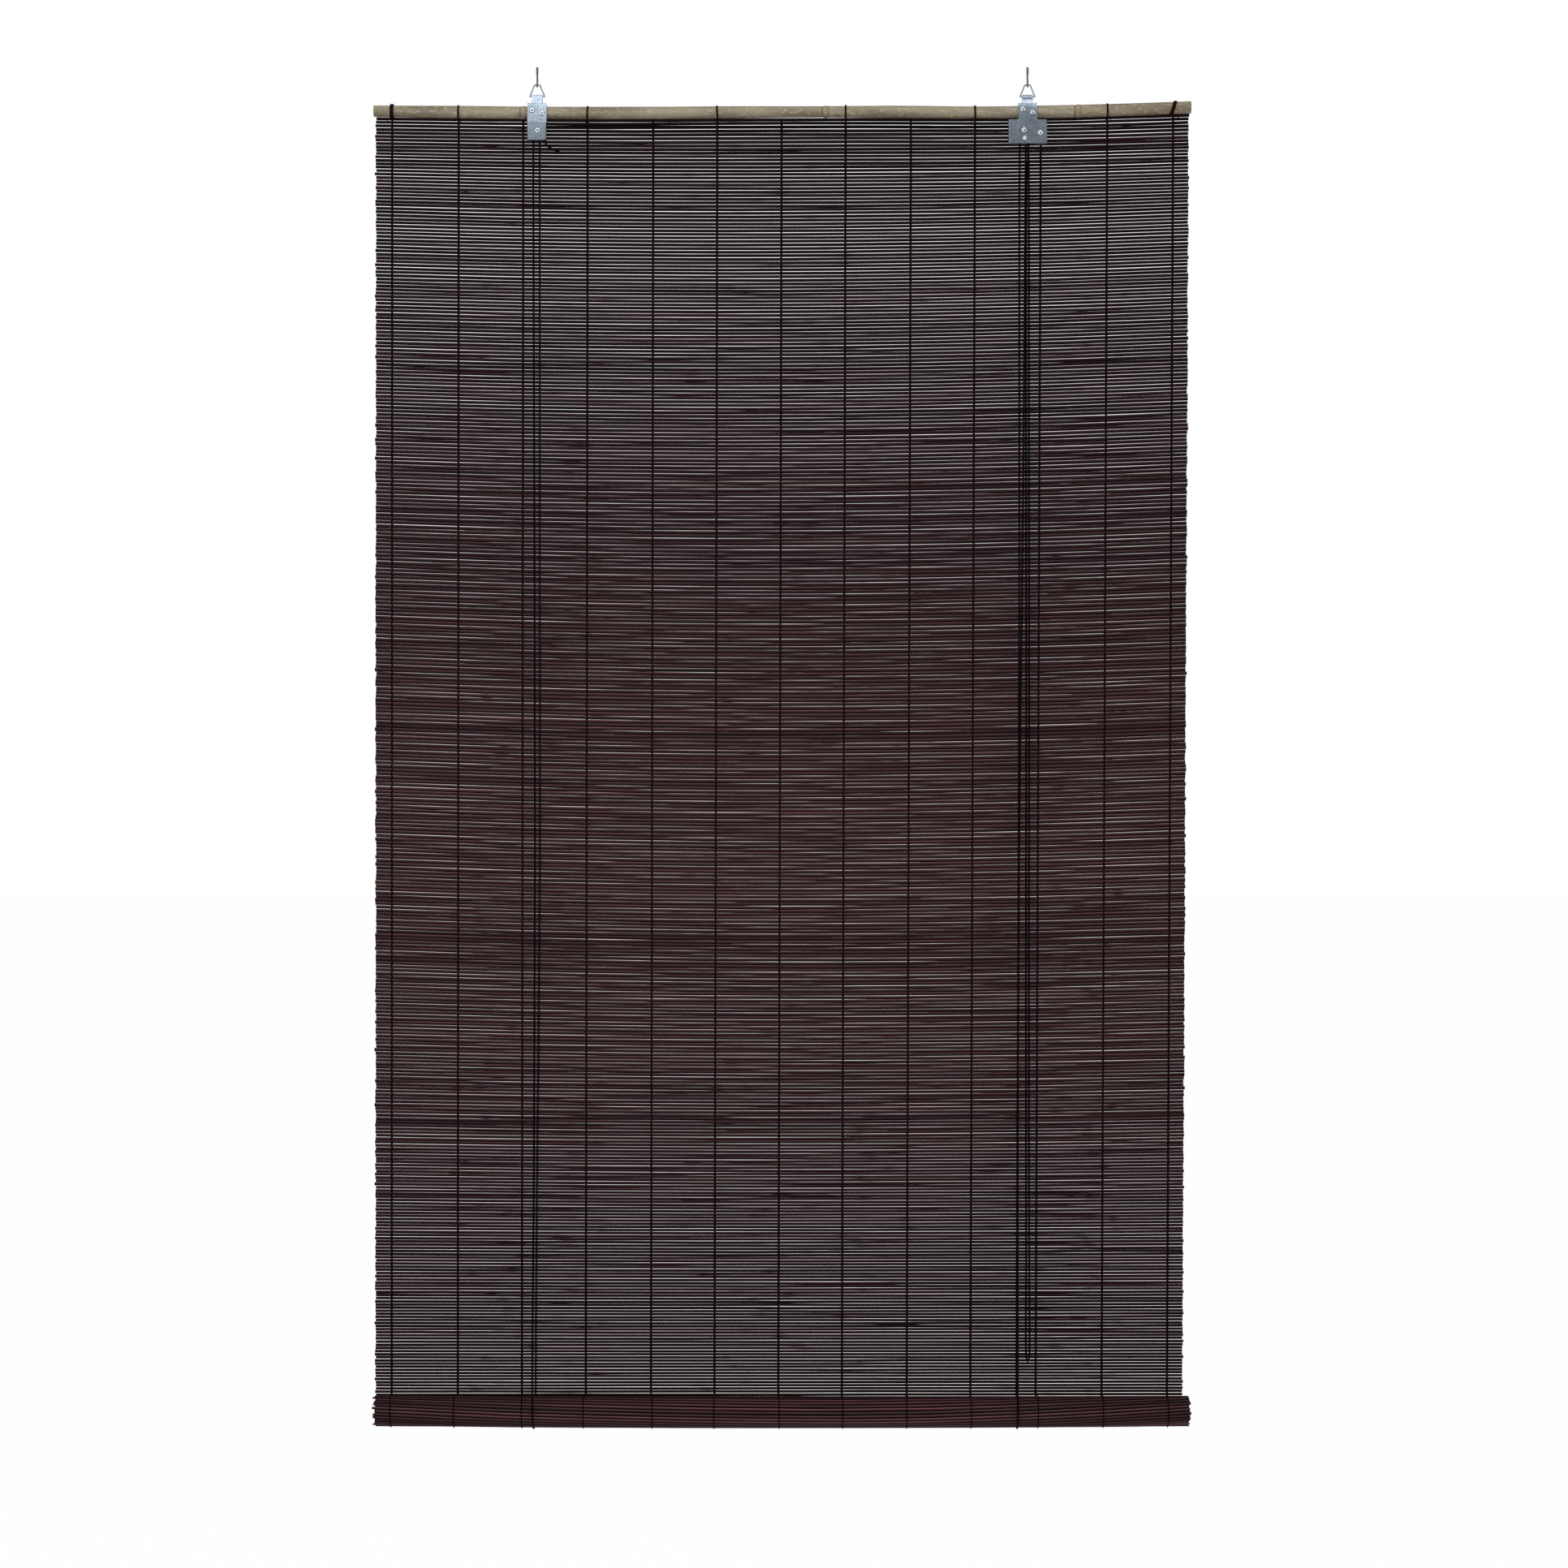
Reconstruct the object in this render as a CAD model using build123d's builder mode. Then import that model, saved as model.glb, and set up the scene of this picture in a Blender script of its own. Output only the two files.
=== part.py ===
"""Bamboo roll up blind on two ceiling screw hooks, let down with its last turns wound at the bottom.

Millimetres, +Z up, front towards -Y. The origin lies midway between the two screw hooks, level with their tops.
"""

from build123d import *
from math import cos, pi, radians, sin, tan
import os

os.makedirs("parts", exist_ok=True)

# Screw hooks and rings
hook_spacing = 604.0  # between the two shanks
stud_r = 1.7  # threaded end that goes into the ceiling
stud_length = 10.0
hook_wire_r = 1.1
hook_bowl_r = 3.6  # middle of the wire
hook_kink_z = -11.5  # where the shank leaves its own axis
hook_side_z = -14.6  # where it runs straight down again
hook_bowl_z = -20.3  # centre of the bowl
hook_tip_rise = 3.6  # of the tip above the bowl's centre
ring_wire_r = 0.95
ring_play = 0.1  # between ring and hook bowl
ring_height = 14.3
ring_top_width = 6.4
ring_bar_width = 18.4
ring_corner_r = 1.8

# Sheet metal hangers, one folded strip each
sheet_t = 1.0
plate_width = 23.4
neck_width = 13.0
curl_gap = 0.35  # between the ring's bar and the curl
neck_slope = 35.0  # degrees from upright
shoulder_bend_r = 3.0
plate_gap = 0.1  # between plate and pole
back_plate_drop = 14.0  # of the back plate's end below the pole's middle
left_plate_bottom = -91.0
lock_plate_top = -66.6  # where the right hanger widens
lock_plate_bottom = -95.8
lock_width = 47.0
lock_centre_dx = -0.5  # middle of the wide plate, from its hook

# Housings, pulleys and the cord lock
pulley_z = -79.5
pulley_width = 3.6
pulley_play = 0.4
pulley_flange_r = 6.4
pulley_bore_r = 1.65
cord_r = 0.9
cord_clearance = 0.3
wrap_r = 5.2  # middle of the cord round a pulley
groove_play = 0.35  # each side of the cord in its groove
left_pulley_dx = 1.0  # from the left hook
lock_pulley_dx = -4.9  # from the right hook
left_housing_top = -69.5
housing_corner_r = 1.2
cord_hole_r = 1.7
pawl_dx = 15.0  # from the right hook
pawl_z = -83.1
pawl_boss_r = 4.4
pawl_nose_drop = 5.6  # of the nose below the pin
pawl_tooth = 0.8
pawl_teeth = 5
anvil_height = 7.6
anvil_flange = 5.4
cover_width = 24.0
cover_top = -71.8
cover_t = 0.8

# Rivets
rivet_r = 1.6
rivet_hole_play = 0.05
rivet_head_r = 3.4
rivet_head_t = 1.3
rivet_eye_r = 1.15  # the hollow in the head
rivet_tail_r = 2.7
rivet_tail_t = 0.7
pole_rivet_dx = 6.0
pole_rivet_dz = 1.9

# Head pole, a bamboo culm
pole_r = 8.0
pole_wall = 2.8
pole_overhang = 3.5  # beyond each end of the mat
pole_left_z = -53.9
pole_low_left = (-0.25, -57.3)  # place across the mat as a share of its width, and height
pole_high_mid = (0.06, -54.1)
pole_low_right = (0.335, -56.4)
pole_right_z = -49.3
pole_bend_share = 0.42  # of the shorter run that each bend takes up
node_shares = (-0.319, 0.053, 0.364)  # places of the nodes as shares of the mat's width
node_ring_r = 0.6  # how far a node stands out
node_ring_width = 1.6
septum_t = 2.0

# Slat mat
mat_width = 1000.0
mat_t = 1.4
slat_pitch = 4.4
groove_width = 1.1
groove_depth = 0.55
gap_width = 0.9
slats_per_gap = 3
mat_top_gap = 0.4  # below the pole's lowest point
mat_top_y = 3.0
thread_count = 13
thread_margin = 21.2  # of the outermost thread from the mat's end
thread_width = 1.4
thread_t = 0.6

# Lashings round the pole
lashing_gap = 0.15
lashing_t = 1.2
lashing_width = 2.2
end_lashing_width = 4.6
knot_r = 2.1
knot_gap = 0.2  # between a knot and the warp thread behind it
lashed_threads = (0, 1, 3, 5, 7, 9, 11, 12)

# Bottom roll
roll_r = 20.3
roll_z = -1655.0
turn_pitch = 2.3
core_r = 7.9
batten_t = 5.0
batten_width = 10.4
mat_end_gap = 0.3

# Cords
tie_z = -63.0  # knots behind the back plates
tie_knot_r = 2.2
joint_gap = 0.3  # between the ends of cord pieces that part when the blind rises

# Sizes that follow
hook_x = hook_spacing / 2
lock_centre = hook_x + lock_centre_dx
left_pulley_x = -hook_x + left_pulley_dx
lock_pulley_x = hook_x + lock_pulley_dx
pawl_x = hook_x + pawl_dx
pole_length = mat_width + 2 * pole_overhang
thread_pitch = (mat_width - 2 * thread_margin) / (thread_count - 1)
node_places = [share * mat_width for share in node_shares]
ring_top_z = hook_bowl_z - hook_bowl_r + hook_wire_r + ring_wire_r + ring_play
ring_bar_z = ring_top_z - ring_height
plate_inner_y = pole_r + plate_gap
plate_outer_y = plate_inner_y + sheet_t
curl_r = ring_wire_r + curl_gap + sheet_t
neck_apex_z = ring_bar_z + curl_r / sin(radians(neck_slope))
shoulder_z = neck_apex_z - plate_outer_y / tan(radians(neck_slope))
pulley_back_y = -plate_outer_y - pulley_play - pulley_width / 2
pulley_front_y = pulley_back_y - pulley_play - pulley_width
left_web_y = pulley_back_y - pulley_width / 2 - pulley_play - sheet_t
lock_web_y = pulley_front_y - pulley_width / 2 - pulley_play - sheet_t
lock_strand_x = lock_pulley_x + wrap_r
left_strand_x = left_pulley_x - wrap_r
right_strand_x = lock_pulley_x - wrap_r
loop_r = roll_r + cord_clearance + cord_r
mat_bottom_y = roll_r - mat_t / 2


def finish(piece, name):
    """Label a finished piece and write it."""
    piece.part.label = name
    export_step(piece.part, "parts/" + name + ".step")


def front_plane(y):
    """A drawing plane that faces the viewer: its x is +X and its y is +Z."""
    return Plane(origin=(0, y, 0), x_dir=(1, 0, 0), z_dir=(0, -1, 0))


def side_plane(x):
    """A drawing plane seen from the right: its x is +Y and its y is +Z."""
    return Plane(origin=(x, 0, 0), x_dir=(0, 1, 0), z_dir=(1, 0, 0))


# The line that the middle of the pole follows
pole_middle = [(share * mat_width, z) for share, z in (pole_low_left, pole_high_mid, pole_low_right)]
pole_points = [(-pole_length / 2, pole_left_z), *pole_middle, (pole_length / 2, pole_right_z)]


def bend_radius(before, at, after):
    """The largest radius that the two runs beside a bend leave room for."""
    run_in = Vector(*at) - Vector(*before)
    run_out = Vector(*after) - Vector(*at)
    turn = radians(run_in.get_angle(run_out))
    return pole_bend_share * min(run_in.length, run_out.length) / tan(turn / 2)


pole_bends = [bend_radius(*pole_points[i : i + 3]) for i in range(len(pole_points) - 2)]
with BuildLine(Plane.XZ) as pole_line:
    FilletPolyline(*pole_points, radius=pole_bends)
pole_path = pole_line.wire()


def pole_share(x):
    """How far along the pole a place across the blind lies."""
    return (x + pole_length / 2) / pole_length


def pole_point(x):
    """The middle of the pole at a place across the blind."""
    return pole_path.position_at(pole_share(x))


def pole_cut(x):
    """A plane square to the pole at a place across the blind."""
    return Plane(origin=pole_point(x), x_dir=(0, 1, 0), z_dir=pole_path.tangent_at(pole_share(x)))


pole_lowest = min(pole_low_left[1], pole_low_right[1]) - pole_r
mat_top_z = pole_lowest - mat_top_gap


def rivet_places(x):
    """The two rivets of a hanger, one each side of the pole's middle."""
    z = pole_point(x).Z
    return [(x - pole_rivet_dx, z + pole_rivet_dz), (x + pole_rivet_dx, z - pole_rivet_dz)]


# Screw hooks: a thick threaded end, a kink and an open bowl in line with the shank
for side, x in (("left", -hook_x), ("right", hook_x)):
    with BuildPart() as hook:
        with BuildLine(side_plane(x)) as hook_line:
            neck = FilletPolyline(
                (0, -stud_length + 1),
                (0, hook_kink_z),
                (hook_bowl_r, hook_side_z),
                (hook_bowl_r, hook_bowl_z),
                radius=1.2,
            )
            bowl = RadiusArc((hook_bowl_r, hook_bowl_z), (-hook_bowl_r, hook_bowl_z), hook_bowl_r)
            Line((-hook_bowl_r, hook_bowl_z), (-hook_bowl_r, hook_bowl_z + hook_tip_rise))
        with BuildSketch(Plane(origin=hook_line.wire() @ 0, z_dir=(0, 0, -1))):
            Circle(hook_wire_r)
        sweep(path=hook_line.wire())
        with BuildSketch(Plane.XY.offset(-stud_length)):
            with Locations((x, 0)):
                Circle(stud_r)
        extrude(amount=stud_length)
    finish(hook, side + "_screw_hook")

# Triangle rings of bent wire
for side, x in (("left", -hook_x), ("right", hook_x)):
    with BuildPart() as ring:
        with BuildLine(front_plane(0)) as ring_line:
            FilletPolyline(
                (x - ring_top_width / 2, ring_top_z),
                (x + ring_top_width / 2, ring_top_z),
                (x + ring_bar_width / 2, ring_bar_z),
                (x - ring_bar_width / 2, ring_bar_z),
                radius=ring_corner_r,
                close=True,
            )
        ring_path = ring_line.wire()
        with BuildSketch(Plane(origin=ring_path @ 0, z_dir=ring_path % 0)):
            Circle(ring_wire_r)
        sweep(path=ring_path)
    finish(ring, side + "_ring")


def add_strip(x, width, front_bottom):
    """One folded strip, seen from the side: front plate, neck, curl over the ring's bar and back plate."""
    back_bottom = pole_point(x).Z - back_plate_drop
    low = front_bottom - 5
    with BuildSketch(side_plane(x - width / 2)) as strip:
        with BuildLine():
            Polyline(
                (-plate_outer_y, low),
                (-plate_outer_y, shoulder_z),
                (0, neck_apex_z),
                (plate_outer_y, shoulder_z),
                (plate_outer_y, low),
                close=True,
            )
        make_face()
        fillet(strip.vertices().group_by(Axis.Y)[-1], radius=curl_r)
        fillet(strip.vertices().group_by(Axis.Y)[1], radius=shoulder_bend_r)
        offset(strip.sketch_local, amount=-sheet_t, mode=Mode.SUBTRACT)
        with Locations((0, low)):
            Rectangle(4 * plate_outer_y, 2 * (front_bottom - low), mode=Mode.SUBTRACT)
        with Locations((plate_outer_y, low)):
            Rectangle(2 * plate_inner_y, 2 * (back_bottom - low), mode=Mode.SUBTRACT)
    extrude(strip.sketch, amount=width)


# Left hanger: a plain strip with a narrow neck
with BuildPart() as left_hanger:
    add_strip(-hook_x, plate_width, left_plate_bottom)
    with BuildSketch(front_plane(0)):
        for way in (-1, 1):
            with Locations((-hook_x + way * (plate_width + neck_width) / 4, shoulder_z + 20)):
                Rectangle((plate_width - neck_width) / 2, 40)
    extrude(amount=2 * plate_outer_y, both=True, mode=Mode.SUBTRACT)
    with BuildSketch(front_plane(0)):
        with Locations(*rivet_places(-hook_x)):
            Circle(rivet_r + rivet_hole_play)
    extrude(amount=2 * plate_outer_y, both=True, mode=Mode.SUBTRACT)
    with BuildSketch(front_plane(-plate_inner_y)):
        with Locations((left_pulley_x, pulley_z)):
            Circle(rivet_r + rivet_hole_play)
    extrude(amount=2 * sheet_t, mode=Mode.SUBTRACT)
finish(left_hanger, "left_hanger")

# Right hanger: the front plate widens below the pole to carry the cord lock
with BuildPart() as right_hanger:
    add_strip(hook_x, plate_width, lock_plate_top - 2)
    with BuildSketch(front_plane(-plate_inner_y)):
        with Locations((lock_centre, (lock_plate_top + lock_plate_bottom) / 2)):
            Rectangle(lock_width, lock_plate_top - lock_plate_bottom)
    extrude(amount=sheet_t)
    with BuildSketch(front_plane(0)):
        for way in (-1, 1):
            with Locations((hook_x + way * (plate_width + neck_width) / 4, shoulder_z + 20)):
                Rectangle((plate_width - neck_width) / 2, 40)
    extrude(amount=2 * plate_outer_y, both=True, mode=Mode.SUBTRACT)
    with BuildSketch(front_plane(0)):
        with Locations(*rivet_places(hook_x)):
            Circle(rivet_r + rivet_hole_play)
    extrude(amount=2 * plate_outer_y, both=True, mode=Mode.SUBTRACT)
    with BuildSketch(front_plane(-plate_inner_y)):
        with Locations((lock_pulley_x, pulley_z), (pawl_x, pawl_z)):
            Circle(rivet_r + rivet_hole_play)
    extrude(amount=2 * sheet_t, mode=Mode.SUBTRACT)
finish(right_hanger, "right_hanger")


def add_channel(centre, width, top, bottom, web_y):
    """A U-shaped box, open at top and bottom, whose side walls stand on the hanger's front plate."""
    depth = -plate_outer_y - web_y
    with BuildSketch(Plane.XY.offset(bottom)) as channel:
        with Locations((centre, web_y + depth / 2)):
            Rectangle(width, depth)
        with Locations((centre, web_y + depth / 2 + sheet_t / 2)):
            Rectangle(width - 2 * sheet_t, depth - sheet_t, mode=Mode.SUBTRACT)
    extrude(channel.sketch, amount=top - bottom)


# Left pulley housing
with BuildPart() as left_pulley_housing:
    add_channel(-hook_x, plate_width, left_housing_top, left_plate_bottom, left_web_y)
    front_edges = left_pulley_housing.edges().filter_by(Axis.Z).group_by(Axis.Y)[0]
    fillet(front_edges, radius=housing_corner_r)
    with BuildSketch(side_plane(-hook_x)):
        with Locations((pulley_back_y, pulley_z + wrap_r)):
            Circle(cord_hole_r)
    extrude(amount=plate_width, mode=Mode.SUBTRACT)
    with BuildSketch(front_plane(left_web_y + 2 * sheet_t)):
        with Locations((left_pulley_x, pulley_z)):
            Circle(rivet_r + rivet_hole_play)
    extrude(amount=4 * sheet_t, mode=Mode.SUBTRACT)
finish(left_pulley_housing, "left_pulley_housing")

# Lock housing
anvil_face_x = lock_strand_x - cord_r - cord_clearance
anvil_top = pulley_z - pulley_flange_r - pulley_play
anvil_rivet_x = anvil_face_x - sheet_t - anvil_flange / 2 + 0.5
anvil_rivet_z = anvil_top - anvil_height / 2 + 0.6
small_rivet_r = 1.0
with BuildPart() as lock_housing:
    add_channel(lock_centre, lock_width, lock_plate_top, lock_plate_bottom, lock_web_y)
    front_edges = lock_housing.edges().filter_by(Axis.Z).group_by(Axis.Y)[0]
    fillet(front_edges, radius=housing_corner_r)
    with BuildSketch(side_plane(lock_centre - lock_width)):
        with Locations((pulley_back_y, pulley_z + wrap_r)):
            Circle(cord_hole_r)
    extrude(amount=lock_width, mode=Mode.SUBTRACT)
    with BuildSketch(front_plane(lock_web_y + 2 * sheet_t)):
        with Locations((lock_pulley_x, pulley_z), (pawl_x, pawl_z)):
            Circle(rivet_r + rivet_hole_play)
        with Locations((anvil_rivet_x, anvil_rivet_z)):
            Circle(small_rivet_r + rivet_hole_play)
    extrude(amount=4 * sheet_t, mode=Mode.SUBTRACT)
finish(lock_housing, "lock_housing")

# Cover plate over the pawl
cover_left = lock_centre + lock_width / 2 - cover_width
with BuildPart() as lock_cover:
    with BuildSketch(front_plane(lock_web_y)):
        with Locations((cover_left + cover_width / 2, (cover_top + lock_plate_bottom) / 2)):
            RectangleRounded(cover_width, cover_top - lock_plate_bottom, 1.5)
        with Locations((pawl_x, pawl_z)):
            Circle(rivet_r + rivet_hole_play, mode=Mode.SUBTRACT)
    extrude(amount=cover_t)
finish(lock_cover, "lock_cover")

# Anvil: a folded plate that the pawl presses the cords against
with BuildPart() as lock_anvil:
    anvil_left = anvil_face_x - sheet_t - anvil_flange
    with BuildSketch(Plane.XY.offset(anvil_top - anvil_height)):
        with BuildLine():
            Polyline(
                (anvil_left, lock_web_y + sheet_t),
                (anvil_face_x, lock_web_y + sheet_t),
                (anvil_face_x, -plate_outer_y),
                (anvil_face_x - sheet_t, -plate_outer_y),
                (anvil_face_x - sheet_t, lock_web_y + 2 * sheet_t),
                (anvil_left, lock_web_y + 2 * sheet_t),
                close=True,
            )
        make_face()
    extrude(amount=anvil_height)
    with BuildSketch(front_plane(lock_web_y + 3 * sheet_t)):
        with Locations((anvil_rivet_x, anvil_rivet_z)):
            Circle(small_rivet_r + rivet_hole_play)
    extrude(amount=3 * sheet_t, mode=Mode.SUBTRACT)
finish(lock_anvil, "lock_anvil")


def add_rivet(x, z, front_y, back_y, shank_r, head_r):
    """A hollow rivet along Y: domed head in front, shank and a rolled tail behind."""
    with BuildSketch(Plane(origin=(x, front_y, z), x_dir=(1, 0, 0), z_dir=(0, 0, 1))) as half:
        with BuildLine():
            length = back_y - front_y
            Polyline(
                (rivet_eye_r, -rivet_head_t),
                (rivet_eye_r + 0.5, -rivet_head_t),
            )
            ThreePointArc(
                (rivet_eye_r + 0.5, -rivet_head_t),
                ((rivet_eye_r + 0.5 + 3 * head_r) / 4, -rivet_head_t * 0.72),
                (head_r, 0),
            )
            Polyline(
                (head_r, 0),
                (shank_r, 0),
                (shank_r, length),
                (rivet_tail_r * shank_r / rivet_r, length),
                (rivet_tail_r * shank_r / rivet_r, length + rivet_tail_t),
                (0, length + rivet_tail_t),
                (0, -0.3),
                (rivet_eye_r, -0.3),
                (rivet_eye_r, -rivet_head_t),
            )
        make_face()
    revolve(half.sketch, axis=Axis((x, 0, z), (0, 1, 0)))


for side, x in (("left", -hook_x), ("right", hook_x)):
    with BuildPart() as pole_rivets:
        for rivet_x, rivet_z in rivet_places(x):
            add_rivet(rivet_x, rivet_z, -plate_outer_y, plate_outer_y, rivet_r, rivet_head_r)
    finish(pole_rivets, side + "_pole_rivets")

with BuildPart() as left_pulley_axle:
    add_rivet(left_pulley_x, pulley_z, left_web_y, -plate_inner_y, rivet_r, rivet_head_r)
finish(left_pulley_axle, "left_pulley_axle")

with BuildPart() as lock_pulley_axle:
    add_rivet(lock_pulley_x, pulley_z, lock_web_y, -plate_inner_y, rivet_r, rivet_head_r)
finish(lock_pulley_axle, "lock_pulley_axle")

with BuildPart() as pawl_pin:
    add_rivet(pawl_x, pawl_z, lock_web_y - cover_t, -plate_inner_y, rivet_r, rivet_head_r)
finish(pawl_pin, "pawl_pin")

with BuildPart() as anvil_rivet:
    anvil_rivet_back = lock_web_y + 2 * sheet_t
    add_rivet(anvil_rivet_x, anvil_rivet_z, lock_web_y, anvil_rivet_back, small_rivet_r, rivet_head_r * 0.8)
finish(anvil_rivet, "anvil_rivet")


# Pulleys
def add_pulley(x, y):
    """A grooved wheel on an axle along Y."""
    half = pulley_width / 2
    root_r = wrap_r - cord_r - cord_clearance
    groove_half = cord_r + groove_play
    with BuildSketch(Plane(origin=(x, y, pulley_z), x_dir=(1, 0, 0), z_dir=(0, 0, 1))) as half_wheel:
        with BuildLine():
            Polyline(
                (pulley_bore_r, -half),
                (pulley_flange_r, -half),
                (pulley_flange_r, -groove_half),
                (root_r, -groove_half),
                (root_r, groove_half),
                (pulley_flange_r, groove_half),
                (pulley_flange_r, half),
                (pulley_bore_r, half),
                close=True,
            )
        make_face()
    revolve(half_wheel.sketch, axis=Axis((x, 0, pulley_z), (0, 1, 0)))


with BuildPart() as left_pulley:
    add_pulley(left_pulley_x, pulley_back_y)
finish(left_pulley, "left_pulley")

with BuildPart() as lock_pulley_back:
    add_pulley(lock_pulley_x, pulley_back_y)
finish(lock_pulley_back, "lock_pulley_back")

with BuildPart() as lock_pulley_front:
    add_pulley(lock_pulley_x, pulley_front_y)
finish(lock_pulley_front, "lock_pulley_front")

# Pawl: a lever on its pin, with teeth on the nose that faces the cords
with BuildPart() as lock_pawl:
    nose_x = lock_strand_x + cord_r + cord_clearance
    nose_z = pawl_z - pawl_nose_drop
    tooth_step = anvil_height / pawl_teeth
    with BuildSketch(front_plane(-plate_outer_y - pulley_play)):
        with Locations((pawl_x, pawl_z)):
            Circle(pawl_boss_r)
        with BuildLine():
            teeth = []
            for i in range(pawl_teeth):
                low = nose_z - anvil_height / 2 + i * tooth_step
                teeth += [(nose_x + pawl_tooth, low), (nose_x, low + tooth_step / 2)]
            teeth.append((nose_x + pawl_tooth, nose_z + anvil_height / 2))
            Polyline(*teeth, (pawl_x, pawl_z + pawl_boss_r * 0.7), (pawl_x, pawl_z - pawl_boss_r), close=True)
        make_face()
        with Locations((pawl_x, pawl_z)):
            Circle(pulley_bore_r, mode=Mode.SUBTRACT)
    extrude(amount=-lock_web_y - sheet_t - plate_outer_y - 2 * pulley_play)
finish(lock_pawl, "lock_pawl")

# Head pole: a hollow culm with closed nodes
with BuildPart() as head_pole:
    with BuildSketch(pole_cut(-pole_length / 2)):
        Circle(pole_r)
        Circle(pole_r - pole_wall, mode=Mode.SUBTRACT)
    sweep(path=pole_path)
    for place in node_places:
        node_plane = pole_cut(place)
        with BuildSketch(node_plane.offset(-septum_t / 2)):
            Circle(pole_r - pole_wall / 2)
        extrude(amount=septum_t)
        with BuildSketch(node_plane.offset(-node_ring_width / 2)):
            Circle(pole_r + node_ring_r)
            Circle(pole_r - pole_wall / 2, mode=Mode.SUBTRACT)
        extrude(amount=node_ring_width)
    with BuildSketch(front_plane(0)):
        with Locations(*rivet_places(-hook_x), *rivet_places(hook_x)):
            Circle(rivet_r + rivet_hole_play)
    extrude(amount=2 * pole_r, both=True, mode=Mode.SUBTRACT)
finish(head_pole, "head_pole")

# Slat mat: one wall that leans back towards the roll, ridged in front, with a slit after every few slats
mat_length = ((mat_top_z - roll_z - mat_end_gap) ** 2 + (mat_bottom_y - mat_top_y) ** 2) ** 0.5
mat_down = Vector(0, mat_bottom_y - mat_top_y, roll_z + mat_end_gap - mat_top_z).normalized()
mat_side = Plane(origin=(-mat_width / 2, mat_top_y, mat_top_z), x_dir=mat_down, z_dir=(1, 0, 0))
slat_count = int(mat_length / slat_pitch)
gap_count = int((slat_count - 1) / slats_per_gap)
slit_half = (thread_count - 1) / 2 * thread_pitch - thread_width / 2
# On this side view x runs down the mat and y towards the front
front = mat_t / 2 if mat_side.y_dir.Y < 0 else -mat_t / 2
floor = front * (1 - 2 * groove_depth / mat_t)
with BuildPart() as slat_mat:
    with BuildSketch(mat_side):
        with BuildLine():
            ridges = [(0, front)]
            for i in range(1, slat_count):
                at = i * slat_pitch
                ridges += [(at - groove_width / 2, front), (at, floor), (at + groove_width / 2, front)]
            Polyline(*ridges, (mat_length, front), (mat_length, -front), (0, -front), close=True)
        make_face()
    extrude(amount=mat_width)
    with BuildSketch(mat_side.offset(mat_width / 2 - slit_half)):
        for i in range(gap_count):
            with Locations(((i + 1) * slats_per_gap * slat_pitch, 0)):
                Rectangle(gap_width, 3 * mat_t)
    extrude(amount=2 * slit_half, mode=Mode.SUBTRACT)
finish(slat_mat, "slat_mat")

# Warp threads: one strand in front of the slats and one behind, for each tie line
thread_places = [(i - (thread_count - 1) / 2) * thread_pitch for i in range(thread_count)]
for number, x in enumerate(thread_places, start=1):
    with BuildPart() as warp_thread:
        with BuildSketch(mat_side.offset(mat_width / 2 + x - thread_width / 2)):
            for face in (-1, 1):
                with Locations((mat_length / 2, face * (mat_t + thread_t) / 2)):
                    Rectangle(mat_length, thread_t)
        extrude(amount=thread_width)
    finish(warp_thread, "warp_thread_" + str(number))

# Lashings: bands of thread round the pole, each with a knot below that takes hold of a warp thread
for number, index in enumerate(lashed_threads, start=1):
    x = thread_places[index]
    width = end_lashing_width if index in (0, thread_count - 1) else lashing_width
    inner_r = pole_r + lashing_gap
    knot_y = mat_top_y - mat_t / 2 - thread_t - knot_gap - knot_r
    knot_z = pole_point(x).Z - inner_r - knot_r
    with BuildPart() as lashing:
        with BuildSketch(pole_cut(x).offset(-width / 2)):
            Circle(inner_r + lashing_t)
            Circle(inner_r, mode=Mode.SUBTRACT)
        extrude(amount=width)
        with BuildSketch(Plane(origin=(x, knot_y, knot_z))):
            with BuildLine():
                CenterArc((0, 0), knot_r, -90, 180)
                Line((0, -knot_r), (0, knot_r))
            make_face()
        revolve(axis=Axis((x, 0, knot_z), (0, 1, 0)))
    finish(lashing, "lashing_" + str(number))


# Bottom roll: the mat goes down the back of the roll, under it and up its front, turn inside turn
def roll_point(angle, inward=0.0):
    """A place on the wound mat, from the back of its outermost turn, by the angle that it has turned."""
    r = roll_r - turn_pitch * angle / (2 * pi) - inward
    return (r * cos(angle), roll_z - r * sin(angle))


def roll_angles(last_r):
    """The joints between the wound slats, one slat pitch apart, down to the stated radius."""
    angles, angle = [0.0], 0.0
    while roll_r - turn_pitch * angle / (2 * pi) > last_r:
        angle += slat_pitch / (roll_r - turn_pitch * angle / (2 * pi))
        angles.append(angle)
    return angles


wound = roll_angles(core_r)
with BuildPart() as bottom_roll:
    with BuildSketch(side_plane(-mat_width / 2)):
        with BuildLine():
            outside = [roll_point(a) for a in wound]
            inside = [roll_point(a, mat_t) for a in reversed(wound)]
            Polyline(*outside, *inside, close=True)
        make_face()
    extrude(amount=mat_width)
finish(bottom_roll, "bottom_roll")

outer_turn = [a for a in wound if 0 < a < 2 * pi - 0.35]
with BuildPart() as roll_threads:
    for x in thread_places:
        with BuildSketch(side_plane(x - thread_width / 2)):
            with BuildLine():
                outside = [roll_point(a, -thread_t) for a in outer_turn]
                inside = [roll_point(a) for a in reversed(outer_turn)]
                Polyline(*outside, *inside, close=True)
            make_face()
        extrude(amount=thread_width)
finish(roll_threads, "roll_threads")

with BuildPart() as bottom_batten:
    with BuildSketch(side_plane(-mat_width / 2)):
        with Locations((0, roll_z)):
            RectangleRounded(batten_width, batten_t, 1.0)
    extrude(amount=mat_width)
finish(bottom_batten, "bottom_batten")


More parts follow.
